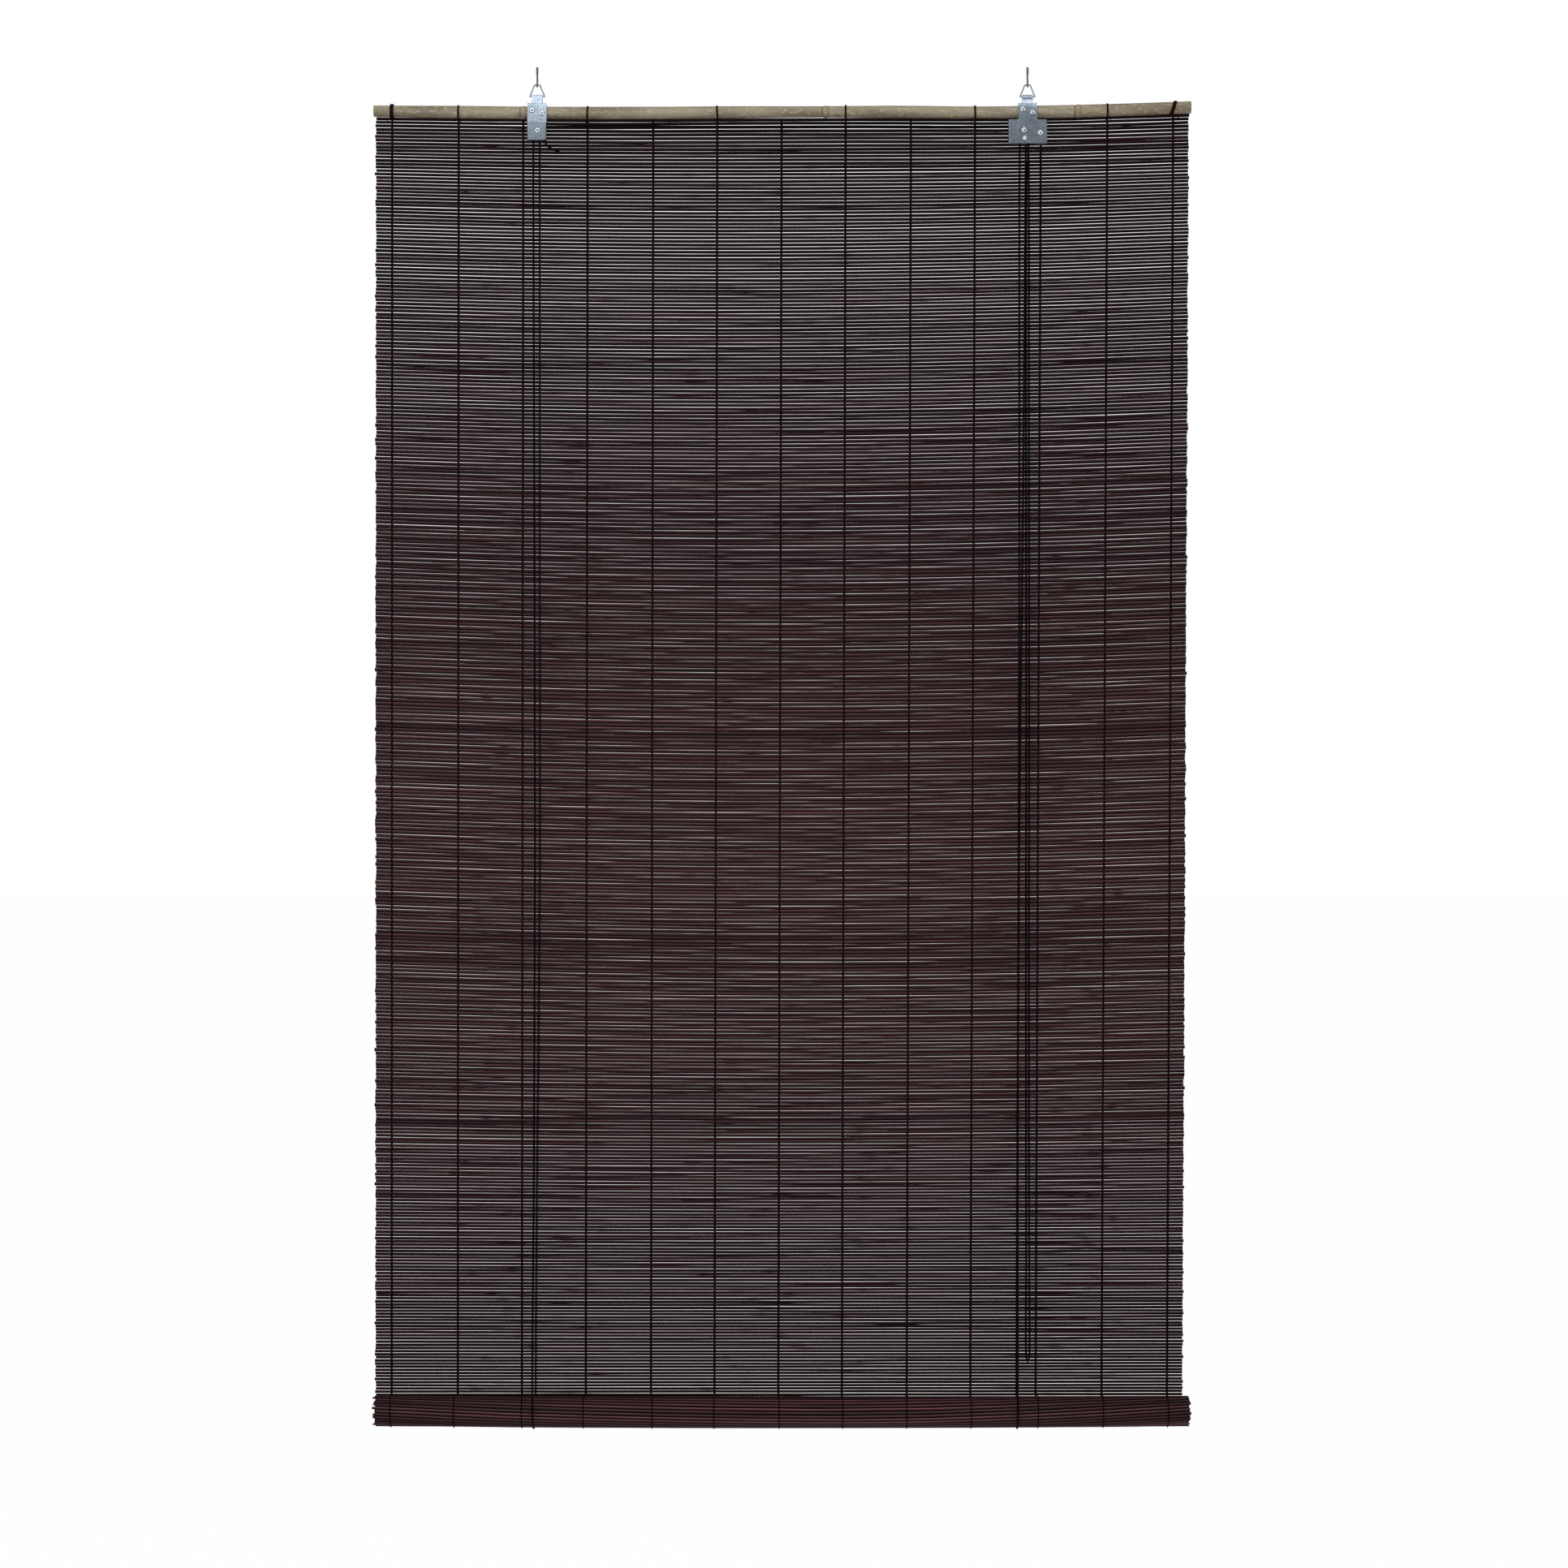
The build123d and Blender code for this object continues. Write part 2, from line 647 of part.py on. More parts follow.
# Cords
def add_tube(path):
    """A round cord along a path."""
    with BuildSketch(Plane(origin=path @ 0, z_dir=path % 0)) as section:
        Circle(cord_r)
    sweep(section.sketch, path=path)


# Left cord: up from the front strand, over its pulley, across to the lock, over its pulley and down
top_z = pulley_z + wrap_r
with BuildPart() as left_cord_top:
    with BuildLine(front_plane(pulley_back_y)) as left_top_line:
        Line((left_strand_x, left_plate_bottom), (left_strand_x, pulley_z))
        CenterArc((left_pulley_x, pulley_z), wrap_r, 180, -90)
        Line((left_pulley_x, top_z), (lock_pulley_x, top_z))
        CenterArc((lock_pulley_x, pulley_z), wrap_r, 90, -90)
        Line((lock_strand_x, pulley_z), (lock_strand_x, lock_plate_bottom))
    add_tube(left_top_line.wire())
finish(left_cord_top, "left_cord_top")

with BuildPart() as right_cord_top:
    with BuildLine(front_plane(pulley_front_y)) as right_top_line:
        Line((right_strand_x, lock_plate_bottom), (right_strand_x, pulley_z))
        CenterArc((lock_pulley_x, pulley_z), wrap_r, 180, -180)
        Line((lock_strand_x, pulley_z), (lock_strand_x, lock_plate_bottom))
    add_tube(right_top_line.wire())
finish(right_cord_top, "right_cord_top")

tie_y = plate_outer_y + tie_knot_r
for side, x, front_y, front_top in (
    ("left", left_strand_x, pulley_back_y, left_plate_bottom),
    ("right", right_strand_x, pulley_front_y, lock_plate_bottom),
):
    with BuildPart() as front_strand:
        with BuildLine() as front_line:
            Line((x, front_y, front_top - joint_gap), (x, -loop_r, roll_z + joint_gap))
        add_tube(front_line.wire())
    finish(front_strand, side + "_front_strand")

    with BuildPart() as back_strand:
        with BuildLine() as back_line:
            Line((x, tie_y, tie_z - tie_knot_r - joint_gap), (x, loop_r, roll_z + joint_gap))
        add_tube(back_line.wire())
    finish(back_strand, side + "_back_strand")

    with BuildPart() as lift_loop:
        with BuildLine(side_plane(x)) as loop_line:
            CenterArc((0, roll_z), loop_r, 180, 180)
        add_tube(loop_line.wire())
    finish(lift_loop, side + "_lift_loop")

    with BuildPart() as tie_knot:
        with BuildSketch(side_plane(x)):
            with BuildLine():
                CenterArc((tie_y, tie_z), tie_knot_r, -90, 180)
                Line((tie_y, tie_z - tie_knot_r), (tie_y, tie_z + tie_knot_r))
            make_face()
        revolve(axis=Axis((x, tie_y, 0), (0, 0, 1)))
    finish(tie_knot, side + "_tie_knot")


def cord_bends(points, share=0.45):
    """One radius for each corner of a route, as large as its two runs leave room for."""
    radii = []
    for before, at, after in zip(points, points[1:], points[2:]):
        run_in = Vector(*at) - Vector(*before)
        run_out = Vector(*after) - Vector(*at)
        turn = radians(run_in.get_angle(run_out))
        radii.append(share * min(run_in.length, run_out.length) / tan(turn / 2))
    return radii


# Pull cord: down from the front pulley, round the fold at its end and back up to the other pulley
cord_drop = 1496.8  # of the fold at the pull cord's end below the lock
front_side = (
    (0.0, 0.0, 0.0),
    (0.0, 0.0, 10.2),
    (1.0, 0.7, 44.2),
    (0.5, 1.5, 324.2),
    (1.3, 1.9, 664.2),
    (0.6, 2.0, 1024.2),
    (1.1, 2.1, 1384.2),
    (1.7, 2.1, cord_drop - 32.6),
    (1.4, 2.1, cord_drop - 0.2),
)
back_side = (
    (-2.8, -1.8, cord_drop),
    (-3.2, -1.6, cord_drop - 32.6),
    (-2.5, -1.4, 1384.2),
    (-3.0, -1.2, 1024.2),
    (-2.3, -1.0, 664.2),
    (-2.9, -0.7, 324.2),
    (-2.2, -0.3, 44.2),
    (0.0, 0.0, 11.2),
    (0.0, 0.0, 0.0),
)
pull_cord_route = [
    (lock_strand_x + dx, y + dy, lock_plate_bottom - drop)
    for y, side in ((pulley_front_y, front_side), (pulley_back_y, back_side))
    for dx, dy, drop in side
]
left_tail_route = [
    (left_pulley_x + dx, pulley_back_y + dy, pulley_z - drop)
    for dx, dy, drop in ((8.4, -0.1, 4.5), (8.5, -0.3, 15.0), (14.5, -1.1, 21.5), (28.0, -1.9, 27.0))
]
for route, name in ((pull_cord_route, "pull_cord"), (left_tail_route, "left_cord_tail")):
    bends = cord_bends(route)
    with BuildPart() as free_cord:
        with BuildLine() as free_line:
            FilletPolyline(*route, radius=bends)
        add_tube(free_line.wire())
    finish(free_cord, name)
    tube_length = free_line.wire().length
    print(name, "length", round(tube_length, 1), "smallest bend", round(min(bends), 2))
    print(name, "volume over section times length", free_cord.part.volume / (pi * cord_r**2 * tube_length))
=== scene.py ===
"""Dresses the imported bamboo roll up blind: slats, threads, cords, bamboo, metal, stage and camera.

Metres, +Z up, front towards -Y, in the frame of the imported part.
"""

import math
import random

import bmesh
import bpy
import numpy as np
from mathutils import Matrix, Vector


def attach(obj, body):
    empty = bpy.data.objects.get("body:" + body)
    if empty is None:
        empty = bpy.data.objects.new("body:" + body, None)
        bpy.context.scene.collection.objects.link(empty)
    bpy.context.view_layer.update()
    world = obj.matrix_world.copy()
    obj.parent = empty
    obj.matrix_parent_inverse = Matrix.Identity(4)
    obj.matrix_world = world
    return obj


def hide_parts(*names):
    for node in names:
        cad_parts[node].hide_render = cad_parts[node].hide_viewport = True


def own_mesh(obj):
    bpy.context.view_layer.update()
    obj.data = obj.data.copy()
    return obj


bl_info = {
    "name": "Bamboo Roll Up Blind",
    "version": (1, 0, 0),
    "blender": (4, 5, 0),
    "location": "3D View > Sidebar > Bamboo Blind",
    "description": "Builds the visible pieces of a bamboo slat roll up blind on its packed frame",
    "category": "Object",
}

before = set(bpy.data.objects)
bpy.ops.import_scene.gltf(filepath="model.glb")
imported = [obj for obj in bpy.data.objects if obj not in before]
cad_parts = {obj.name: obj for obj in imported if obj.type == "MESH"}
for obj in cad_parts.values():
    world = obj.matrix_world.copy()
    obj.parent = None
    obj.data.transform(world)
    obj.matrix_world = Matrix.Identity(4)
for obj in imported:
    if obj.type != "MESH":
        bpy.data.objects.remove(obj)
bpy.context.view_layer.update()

# Places taken over from the part, in metres
HOOK_X = 0.302
STUD_LENGTH = 0.010
HOOK_BEND = 0.0036
HOOK_BEND_Z = -0.0203
RING_TOP_Z = -0.02175
RING_BAR_Z = -0.03605
POLE_LINE = ((-0.5035, -0.0539), (-0.250, -0.0573), (0.060, -0.0541), (0.335, -0.0564), (0.5035, -0.0493))
POLE_END = 0.5035
POLE_RADIUS = 0.0075
POLE_BORE = 0.0048
BORE_END = 0.4935
POLE_NODES = (-0.319, 0.053, 0.364)
MAT_TOP = Vector((0.0, 0.003, -0.0657))
MAT_END = Vector((0.0, 0.0196, -1.6553))
ROLL_Z = -1.655
ROLL_RADIUS = 0.0203
ROLL_CORE = 0.0079
TURN_PITCH = 0.0023
WOUND_PITCH = 0.0043
WOUND_WIDTH = 0.0033
PLATE_FRONT = 0.0091
PULLEY_Z = -0.0795
PULLEY_WRAP = 0.0052
BACK_PULLEY_Y = -0.0113
FRONT_PULLEY_Y = -0.0153
LEFT_PULLEY_X = -0.301
LOCK_PULLEY_X = 0.2971
PAWL_PIN_X = 0.317
PAWL_PIN_Z = -0.0831
LEFT_STRAND_X = LEFT_PULLEY_X - PULLEY_WRAP
RIGHT_STRAND_X = LOCK_PULLEY_X - PULLEY_WRAP
LOCK_STRAND_X = LOCK_PULLEY_X + PULLEY_WRAP
LEFT_PLATE_BOTTOM = -0.091
LOCK_PLATE_BOTTOM = -0.0958
LOOP_RADIUS = 0.0217
TIE_Y = 0.0115
TIE_Z = -0.063
CAMERA_Z = -0.883
FLOOR_Z = -2.35
FLOOR_HALF = 60.0

# Where each warp thread is at the top of the mat and on the roll, and which of them are lashed to the pole
THREADS_TOP = (
    -0.4810, -0.3990, -0.3194, -0.2400, -0.1591, -0.0802, -0.0009, 0.0780, 0.1585, 0.2375, 0.3186, 0.4005, 0.4817,
)
ROLL_THREADS = (
    -0.4823, -0.4045, -0.3208, -0.2451, -0.1604, -0.0843, -0.0040, 0.0741, 0.1529, 0.2322, 0.3145, 0.3946, 0.4743,
)
LASHED = (0, 1, 3, 5, 7, 9, 11, 12)

# Distance down the mat against the slats' pitch, the light seen between them, how brown they are painted
# as a sheen, strongest in the middle of the mat, how far their middles sag and how far the mat slopes across
PITCH_DOWN = (
    (0.0, 0.00433), (0.24, 0.00436), (0.40, 0.00460), (0.64, 0.00460), (0.92, 0.00445),
    (1.08, 0.00417), (1.21, 0.00412), (1.33, 0.00385), (1.60, 0.00383),
)
LIGHT_DOWN = (
    (0.0, 0.00042), (0.10, 0.00034), (0.25, 0.00022), (0.43, 0.00012), (0.57, 0.00005),
    (0.68, -0.00001), (0.82, -0.00003), (0.96, -0.00006), (1.10, -0.00005), (1.22, -0.00001),
    (1.34, 0.00003), (1.44, 0.00009), (1.55, 0.00015), (1.60, 0.00017),
)
SHEEN_DOWN = (
    (0.0, 0.05), (0.30, 0.22), (0.50, 0.50), (0.62, 0.68), (0.75, 0.85),
    (1.12, 0.80), (1.24, 0.62), (1.34, 0.40), (1.45, 0.22), (1.60, 0.10),
)
SAG_DOWN = (
    (0.0, 0.0), (0.05, 0.0050), (0.10, 0.0082), (0.24, 0.0092), (0.44, 0.0100), (0.63, 0.0110),
    (0.83, 0.0103), (1.03, 0.0086), (1.23, 0.0050), (1.42, 0.0012), (1.60, 0.0),
)
TILT_DOWN = (
    (0.0, 0.0), (0.05, 0.0020), (0.10, 0.0038), (0.24, 0.0058), (0.44, 0.0045),
    (0.63, 0.0), (0.83, 0.0), (1.03, -0.0025), (1.23, 0.0), (1.60, 0.001),
)

# Share of the way down against the place across, for each of the four taut strands
STRANDS = {
    ("left", "front"): (
        (0.0, -0.3062), (0.05, -0.3062), (0.30, -0.3048), (0.56, -0.3040),
        (0.82, -0.3052), (0.94, -0.3068), (1.0, -0.3072),
    ),
    ("left", "back"): (
        (0.0, -0.2996), (0.57, -0.2996), (0.70, -0.3013), (0.82, -0.3033), (0.94, -0.3048), (1.0, -0.3052),
    ),
    ("right", "front"): ((0.0, 0.2919), (0.05, 0.2912), (0.30, 0.2912), (0.56, 0.2901), (0.82, 0.2890), (1.0, 0.2890)),
    ("right", "back"): ((0.0, 0.3006), (0.26, 0.2977), (0.44, 0.2945), (0.57, 0.2925), (0.82, 0.2902), (1.0, 0.2892)),
}

# Routes of the two free cords, as the part has them
PULL_CORD_ROUTE = (
    (0.3023, -0.0153, -0.0958),
    (0.3023, -0.0153, -0.1060),
    (0.3033, -0.0146, -0.1400),
    (0.3028, -0.0138, -0.4200),
    (0.3036, -0.0134, -0.7600),
    (0.3029, -0.0133, -1.1200),
    (0.3034, -0.0132, -1.4800),
    (0.3040, -0.0132, -1.5600),
    (0.3037, -0.0132, -1.5924),
    (0.2995, -0.0131, -1.5926),
    (0.2991, -0.0129, -1.5600),
    (0.2998, -0.0127, -1.4800),
    (0.2993, -0.0125, -1.1200),
    (0.3000, -0.0123, -0.7600),
    (0.2994, -0.0120, -0.4200),
    (0.3001, -0.0116, -0.1400),
    (0.3023, -0.0113, -0.1070),
    (0.3023, -0.0113, -0.0958),
)
LEFT_TAIL_ROUTE = (
    (-0.2926, -0.0114, -0.0840),
    (-0.2925, -0.0116, -0.0945),
    (-0.2865, -0.0124, -0.1010),
    (-0.2730, -0.0132, -0.1065),
)

WHITE = (1.0, 1.0, 1.0, 1.0)
CORD_TWIST = 0.0011
THREAD_TWIST = 0.0009
SLAT_KNOTS = (-0.31, 0.02, 0.34)
# An across place far off the mat, so that no painted strand shadow falls on the wound slats
NO_STRAND_SHADE = 9.0
LENGTH = {"unit": "LENGTH", "subtype": "DISTANCE"}
COLOUR = {"subtype": "COLOR", "size": 3, "min": 0.0, "max": 1.0}


class BlindSizes(bpy.types.PropertyGroup):
    """Sizes of the blind's pieces that a user may change."""

    slat_thickness: bpy.props.FloatProperty(
        name="Slat Thickness", description="Thickness of one split bamboo slat",
        default=0.0013, min=0.0005, max=0.004, **LENGTH
    )
    slat_bow: bpy.props.FloatProperty(
        name="Slat Bow", description="How far a slat wanders up and down along its length",
        default=0.00022, min=0.0, max=0.002, **LENGTH
    )
    knuckle: bpy.props.FloatProperty(
        name="Knuckle", description="How far a slat widens at a node of the bamboo",
        default=0.00012, min=0.0, max=0.002, **LENGTH
    )
    thread_radius: bpy.props.FloatProperty(
        name="Thread Radius", description="Radius of one warp thread", default=0.00078, min=0.0001, max=0.001, **LENGTH
    )
    cord_radius: bpy.props.FloatProperty(
        name="Cord Radius", description="Radius of the lift and pull cords",
        default=0.00115, min=0.0004, max=0.003, **LENGTH
    )
    lens: bpy.props.FloatProperty(
        name="Lens", description="Focal length of the camera in millimetres", default=111.8, min=20.0, max=200.0
    )
    camera_distance: bpy.props.FloatProperty(
        name="Camera Distance", description="Distance from the camera to the blind",
        default=6.0, min=1.0, max=12.0, **LENGTH
    )


class BlindColours(bpy.types.PropertyGroup):
    """Colours of the blind's finishes that a user may change."""

    slat_dark: bpy.props.FloatVectorProperty(
        name="Slat Dark", description="Darkest stain of the slats", default=(0.0052, 0.0015, 0.0032), **COLOUR
    )
    # Slat Brown is also the colour of the painted sheen in the middle of the hanging mat.
    slat_brown: bpy.props.FloatVectorProperty(
        name="Slat Brown", description="Lighter stain of the slats", default=(0.031, 0.0150, 0.0160), **COLOUR
    )
    # The painted light on top of the roll pushes the wound slats towards Slat Red.
    slat_red: bpy.props.FloatVectorProperty(
        name="Slat Red", description="Reddest stain, on the wound slats", default=(0.105, 0.040, 0.040), **COLOUR
    )
    bamboo_light: bpy.props.FloatVectorProperty(
        name="Bamboo Light", description="Light skin of the head pole", default=(0.20, 0.172, 0.118), **COLOUR
    )
    bamboo_dark: bpy.props.FloatVectorProperty(
        name="Bamboo Dark", description="Stains on the head pole", default=(0.105, 0.083, 0.054), **COLOUR
    )
    zinc: bpy.props.FloatVectorProperty(
        name="Zinc", description="Bluish zinc coating of the sheet metal", default=(0.34, 0.41, 0.48), **COLOUR
    )
    thread: bpy.props.FloatVectorProperty(
        name="Thread", description="Warp threads and lashings", default=(0.0042, 0.0011, 0.0012), **COLOUR
    )
    cord: bpy.props.FloatVectorProperty(
        name="Cord", description="Braided lift and pull cords", default=(0.0014, 0.0012, 0.0014), **COLOUR
    )


def sizes():
    return bpy.context.scene.blind_sizes


def colours():
    return bpy.context.scene.blind_colours


# Nodes and materials


class Nodes:
    """A node tree with short calls to add and join its nodes."""

    def __init__(self, tree):
        self.nodes, self.links = tree.nodes, tree.links

    def give(self, socket, value):
        """Links a socket to another one, or sets its value."""
        if isinstance(value, bpy.types.NodeSocket):
            self.links.new(value, socket)
        elif value is not None:
            socket.default_value = value

    def add(self, kind, inputs=None, **settings):
        """A new node with its settings, then its inputs by name or number."""
        node = self.nodes.new(kind)
        for key, value in settings.items():
            setattr(node, key, value)
        for key, value in (inputs or {}).items():
            self.give(node.inputs[key], value)
        return node

    def maths(self, kind, first, second=None):
        return self.add("ShaderNodeMath", {0: first, 1: second}, operation=kind).outputs[0]

    def xyz(self, x=0.0, y=0.0, z=0.0):
        return self.add("ShaderNodeCombineXYZ", {0: x, 1: y, 2: z}).outputs[0]

    def named(self, name, kind="FLOAT"):
        """A named attribute in Geometry Nodes."""
        return self.add("GeometryNodeInputNamedAttribute", {"Name": name}, data_type=kind).outputs["Attribute"]

    def copies(self, points, thing, scale, **inputs):
        """Sets an object on each point and makes the copies real."""
        shape = self.add("GeometryNodeObjectInfo", {"Object": thing}).outputs["Geometry"]
        inputs = {"Points": points, "Instance": shape, "Scale": scale, **inputs}
        copies = self.add("GeometryNodeInstanceOnPoints", inputs).outputs["Instances"]
        return self.add("GeometryNodeRealizeInstances", {"Geometry": copies}).outputs["Geometry"]

    def paint(self, geometry, finish):
        """Sets the material and hands the geometry out of the tree."""
        painted = self.add("GeometryNodeSetMaterial", {"Geometry": geometry, "Material": finish})
        self.add("NodeGroupOutput", {"Geometry": painted.outputs["Geometry"]})

    def blend(self, factor, first, second, target):
        """Mixes two shaders into a target socket."""
        mixed = self.add("ShaderNodeMixShader", {0: factor, 1: first.outputs[0], 2: second.outputs[0]})
        self.links.new(mixed.outputs[0], target)


class Finish(Nodes):
    """A procedural material: its shader and the textures that it mixes."""

    def __init__(self, name):
        self.material = bpy.data.materials.new(name)
        self.material.use_nodes = True
        super().__init__(self.material.node_tree)
        self.shader = self.nodes["Principled BSDF"]

    def coords(self, scale=(1.0, 1.0, 1.0), source="Object"):
        place = self.add("ShaderNodeTexCoord").outputs[source]
        return self.add("ShaderNodeMapping", {"Vector": place, "Scale": scale}).outputs["Vector"]

    def axis(self, name, scale=(1.0, 1.0, 1.0)):
        return self.add("ShaderNodeSeparateXYZ", {0: self.coords(scale)}).outputs[name]

    def noise(self, scale, detail=3.0, rough=0.55):
        inputs = {"Vector": self.coords(scale), "Scale": 1.0, "Detail": detail, "Roughness": rough}
        return self.add("ShaderNodeTexNoise", inputs).outputs["Fac"]

    def bands(self, slant=1.0):
        """Slanting bands on the UV map, for twisted or braided strands."""
        inputs = {"Vector": self.coords((1.0, slant, 1.0), "UV"), "Scale": 1.0}
        return self.add("ShaderNodeTexWave", inputs, wave_type="BANDS", bands_direction="DIAGONAL").outputs["Fac"]

    def ramp(self, factor, *stops):
        """A ramp over stops of a place and a shade or colour."""
        node = self.add("ShaderNodeValToRGB", {"Fac": factor})
        while len(node.color_ramp.elements) < len(stops):
            node.color_ramp.elements.new(0.5)
        for element, (place, colour) in zip(node.color_ramp.elements, stops):
            element.position = place
            element.color = (*colour, 1.0) if isinstance(colour, tuple) else (colour, colour, colour, 1.0)
        return node.outputs["Color"]

    def mix(self, factor, first, second, kind="MIX"):
        node = self.add("ShaderNodeMix", data_type="RGBA", blend_type=kind)
        for socket, value in ((node.inputs["Factor"], factor), (node.inputs[6], first), (node.inputs[7], second)):
            self.give(socket, (*value, 1.0) if isinstance(value, tuple) else value)
        return node.outputs[2]

    def shade(self, base, *shades):
        """A colour multiplied by each of the shades."""
        for shade in shades:
            base = self.mix(1.0, base, shade, "MULTIPLY")
        return base

    def line(self, value, times, plus):
        return self.maths("ADD", self.maths("MULTIPLY", value, times), plus)

    def attribute(self, name):
        return self.add("ShaderNodeAttribute", attribute_name=name).outputs["Fac"]

    def surface(self, colour, rough, height, distance, strength, **others):
        """Joins colour, roughness and bump to the shader, sets its other values and gives the material."""
        bump = self.add("ShaderNodeBump", {"Height": height, "Distance": distance, "Strength": strength})
        values = {"Base Color": colour, "Roughness": rough, "Normal": bump.outputs["Normal"]}
        for key, value in others.items():
            values["Specular IOR Level" if key == "specular" else key] = value
        for key, value in values.items():
            self.give(self.shader.inputs[key], value)
        return self.material


def stained_slats():
    """Dark stained split bamboo: long fibres, browner and redder slats that are partly stain and partly painted sheen
    and shade, a painted highlight along each slat's upper edge with painted shade along its lower one, and painted
    shadows of the back strands.
    """
    finish = Finish("stained_slats")
    dark, brown, red = tuple(colours().slat_dark), tuple(colours().slat_brown), tuple(colours().slat_red)
    fibres = finish.noise((5.0, 260.0, 900.0))
    patches = finish.noise((5.0, 30.0, 90.0), 2.0, 0.5)
    patches = finish.maths("MULTIPLY", finish.maths("SUBTRACT", patches, 0.5), 0.5)
    # Each slat's share carries its random stain and its painted light: the sheen on the hanging mat, the light and
    # shade on the roll.
    share = finish.maths("ADD", finish.attribute("stain_and_painted_light"), patches)
    base = finish.ramp(finish.maths("MULTIPLY", share, 0.5), (0.0, dark), (0.5, brown), (1.0, red))
    streak = finish.ramp(fibres, (0.35, 0.75), (0.62, 1.15))
    across = finish.attribute("across")
    # Painted highlight on each slat's upper edge and painted shade on its lower one, by the place across the slat.
    painted_edge_light = finish.ramp(across, (0.0, 0.03), (0.25, 0.12), (0.5, 0.70), (0.74, 1.15), (0.80, 2.4), (1.0, 2.8))
    base = finish.shade(base, streak, painted_edge_light)
    x = finish.axis("X")
    # Painted shadow of each back strand: a dark line on the slats along its path.
    for side in ("left_strand_shade", "right_strand_shade"):
        off = finish.maths("ABSOLUTE", finish.maths("SUBTRACT", x, finish.attribute(side)))
        base = finish.shade(base, finish.ramp(finish.maths("MULTIPLY", off, 300.0), (0.30, 0.08), (0.55, 1.0)))
    return finish.surface(base, finish.line(fibres, 0.14, 0.42), fibres, 0.00003, 0.5, specular=0.03)


def twisted_thread(name="twisted_thread", bright=1.0):
    """Dark maroon twisted cotton, its twist read from the UV map; bright above one makes a copy painted lighter."""
    finish = Finish(name)
    twist = finish.bands()
    shade = finish.ramp(twist, (0.1, 0.5 * bright), (0.7, 1.3 * bright))
    base = finish.shade(tuple(colours().thread), shade)
    return finish.surface(base, 0.78, twist, 0.0002, 0.6, specular=0.02)


def braided_cord():
    """Black braid: two sets of strands that cross, read from the UV map."""
    finish = Finish("braided_cord")
    braid = finish.maths("MAXIMUM", finish.bands(), finish.bands(-1.0))
    base = finish.shade(tuple(colours().cord), finish.ramp(braid, (0.25, 0.35), (0.9, 1.6)))
    return finish.surface(base, 0.62, braid, 0.0003, 0.8, specular=0.02)


def raw_bamboo():
    """Raw bamboo skin: grey-olive with long fibres, pale flecks, brown stains and dark node rings."""
    finish = Finish("raw_bamboo")
    light, dark = tuple(colours().bamboo_light), tuple(colours().bamboo_dark)
    stains = finish.noise((10.0, 60.0, 60.0), 4.0, 0.6)
    fibres = finish.noise((40.0, 1400.0, 1400.0), 3.0, 0.6)
    flecks = finish.noise((170.0, 330.0, 330.0), 3.0, 0.6)
    specks = finish.noise((420.0, 640.0, 640.0), 2.0, 0.5)
    base = finish.mix(finish.ramp(stains, (0.38, 1.0), (0.62, 0.0)), light, dark)
    base = finish.mix(finish.ramp(flecks, (0.52, 0.0), (0.72, 0.75)), base, tuple(c * 1.5 for c in light))
    base = finish.mix(finish.ramp(specks, (0.56, 0.0), (0.74, 0.5)), base, tuple(c * 0.8 for c in dark))
    ring = finish.ramp(finish.attribute("ring"), (0.0, (1.0, 1.0, 1.0)), (1.0, (0.55, 0.30, 0.17)))
    base = finish.shade(base, finish.ramp(fibres, (0.3, 0.86), (0.65, 1.08)), ring)
    return finish.surface(base, finish.line(stains, 0.25, 0.42), flecks, 0.00015, 0.5, specular=0.3)


def zinc_plate(name, *shades):
    """Zinc-plated sheet: bluish metal with drawing lines, cloudy plating, and painted light and shade that change with
    height.
    """
    finish = Finish(name)
    clouds = finish.noise((60.0, 60.0, 60.0), 4.0, 0.6)
    mottle = finish.noise((420.0, 420.0, 420.0), 3.0, 0.6)
    lines = finish.noise((2400.0, 2400.0, 70.0), 3.0, 0.6)
    height = finish.axis("Z", (1.0, 1.0, 16.0))
    # The first ramp paints light and shade by height; the others are the plating's clouds, mottle and drawing lines.
    base = finish.shade(
        tuple(colours().zinc),
        finish.ramp(finish.maths("ADD", height, 1.6), *shades),
        finish.ramp(clouds, (0.3, 0.82), (0.7, 1.15)),
        finish.ramp(mottle, (0.35, 0.72), (0.6, 1.12)),
        finish.ramp(lines, (0.25, 0.85), (0.7, 1.1)),
    )
    return finish.surface(base, finish.line(clouds, 0.25, 0.27), lines, 0.00006, 0.5, Metallic=0.92)


def bright_wire(name, colour, rough):
    """Drawn steel wire: fine scratches round a bright metal."""
    finish = Finish(name)
    scratches = finish.noise((900.0, 900.0, 500.0), 3.0, 0.6)
    base = finish.ramp(scratches, (0.3, tuple(c * 0.6 for c in colour)), (0.7, colour))
    return finish.surface(base, finish.line(scratches, 0.2, rough), scratches, 0.00005, 0.4, Metallic=1.0)


def white_plastic():
    """Moulded white plastic of the pulleys."""
    finish = Finish("pulley_white")
    grain = finish.noise((500.0, 500.0, 500.0), 2.0, 0.5)
    base = finish.ramp(grain, (0.3, (0.62, 0.61, 0.57)), (0.7, (0.74, 0.73, 0.70)))
    return finish.surface(base, 0.42, grain, 0.00004, 0.4)


MATERIALS = {}
# Painted light and shade by height: the plates lighter towards the top as a painted sheen and darker towards the
# bottom, a dark line where the left housing meets its hanger, and high on the lock plate a painted bright band with a
# dark strip above it, just under the ring's bar.
LEFT_PAINTED_LIGHT = ((0.12, 0.22), (0.30, 0.30), (0.485, 0.36), (0.49, 0.20), (0.50, 0.50), (0.78, 0.62), (0.88, 0.95))
LOCK_PAINTED_LIGHT = (
    (0.05, 0.24), (0.50, 0.26), (0.70, 0.30), (0.79, 0.42), (0.86, 0.85),
    (0.945, 0.95), (0.955, 0.30), (0.985, 0.25), (1.0, 0.55),
)


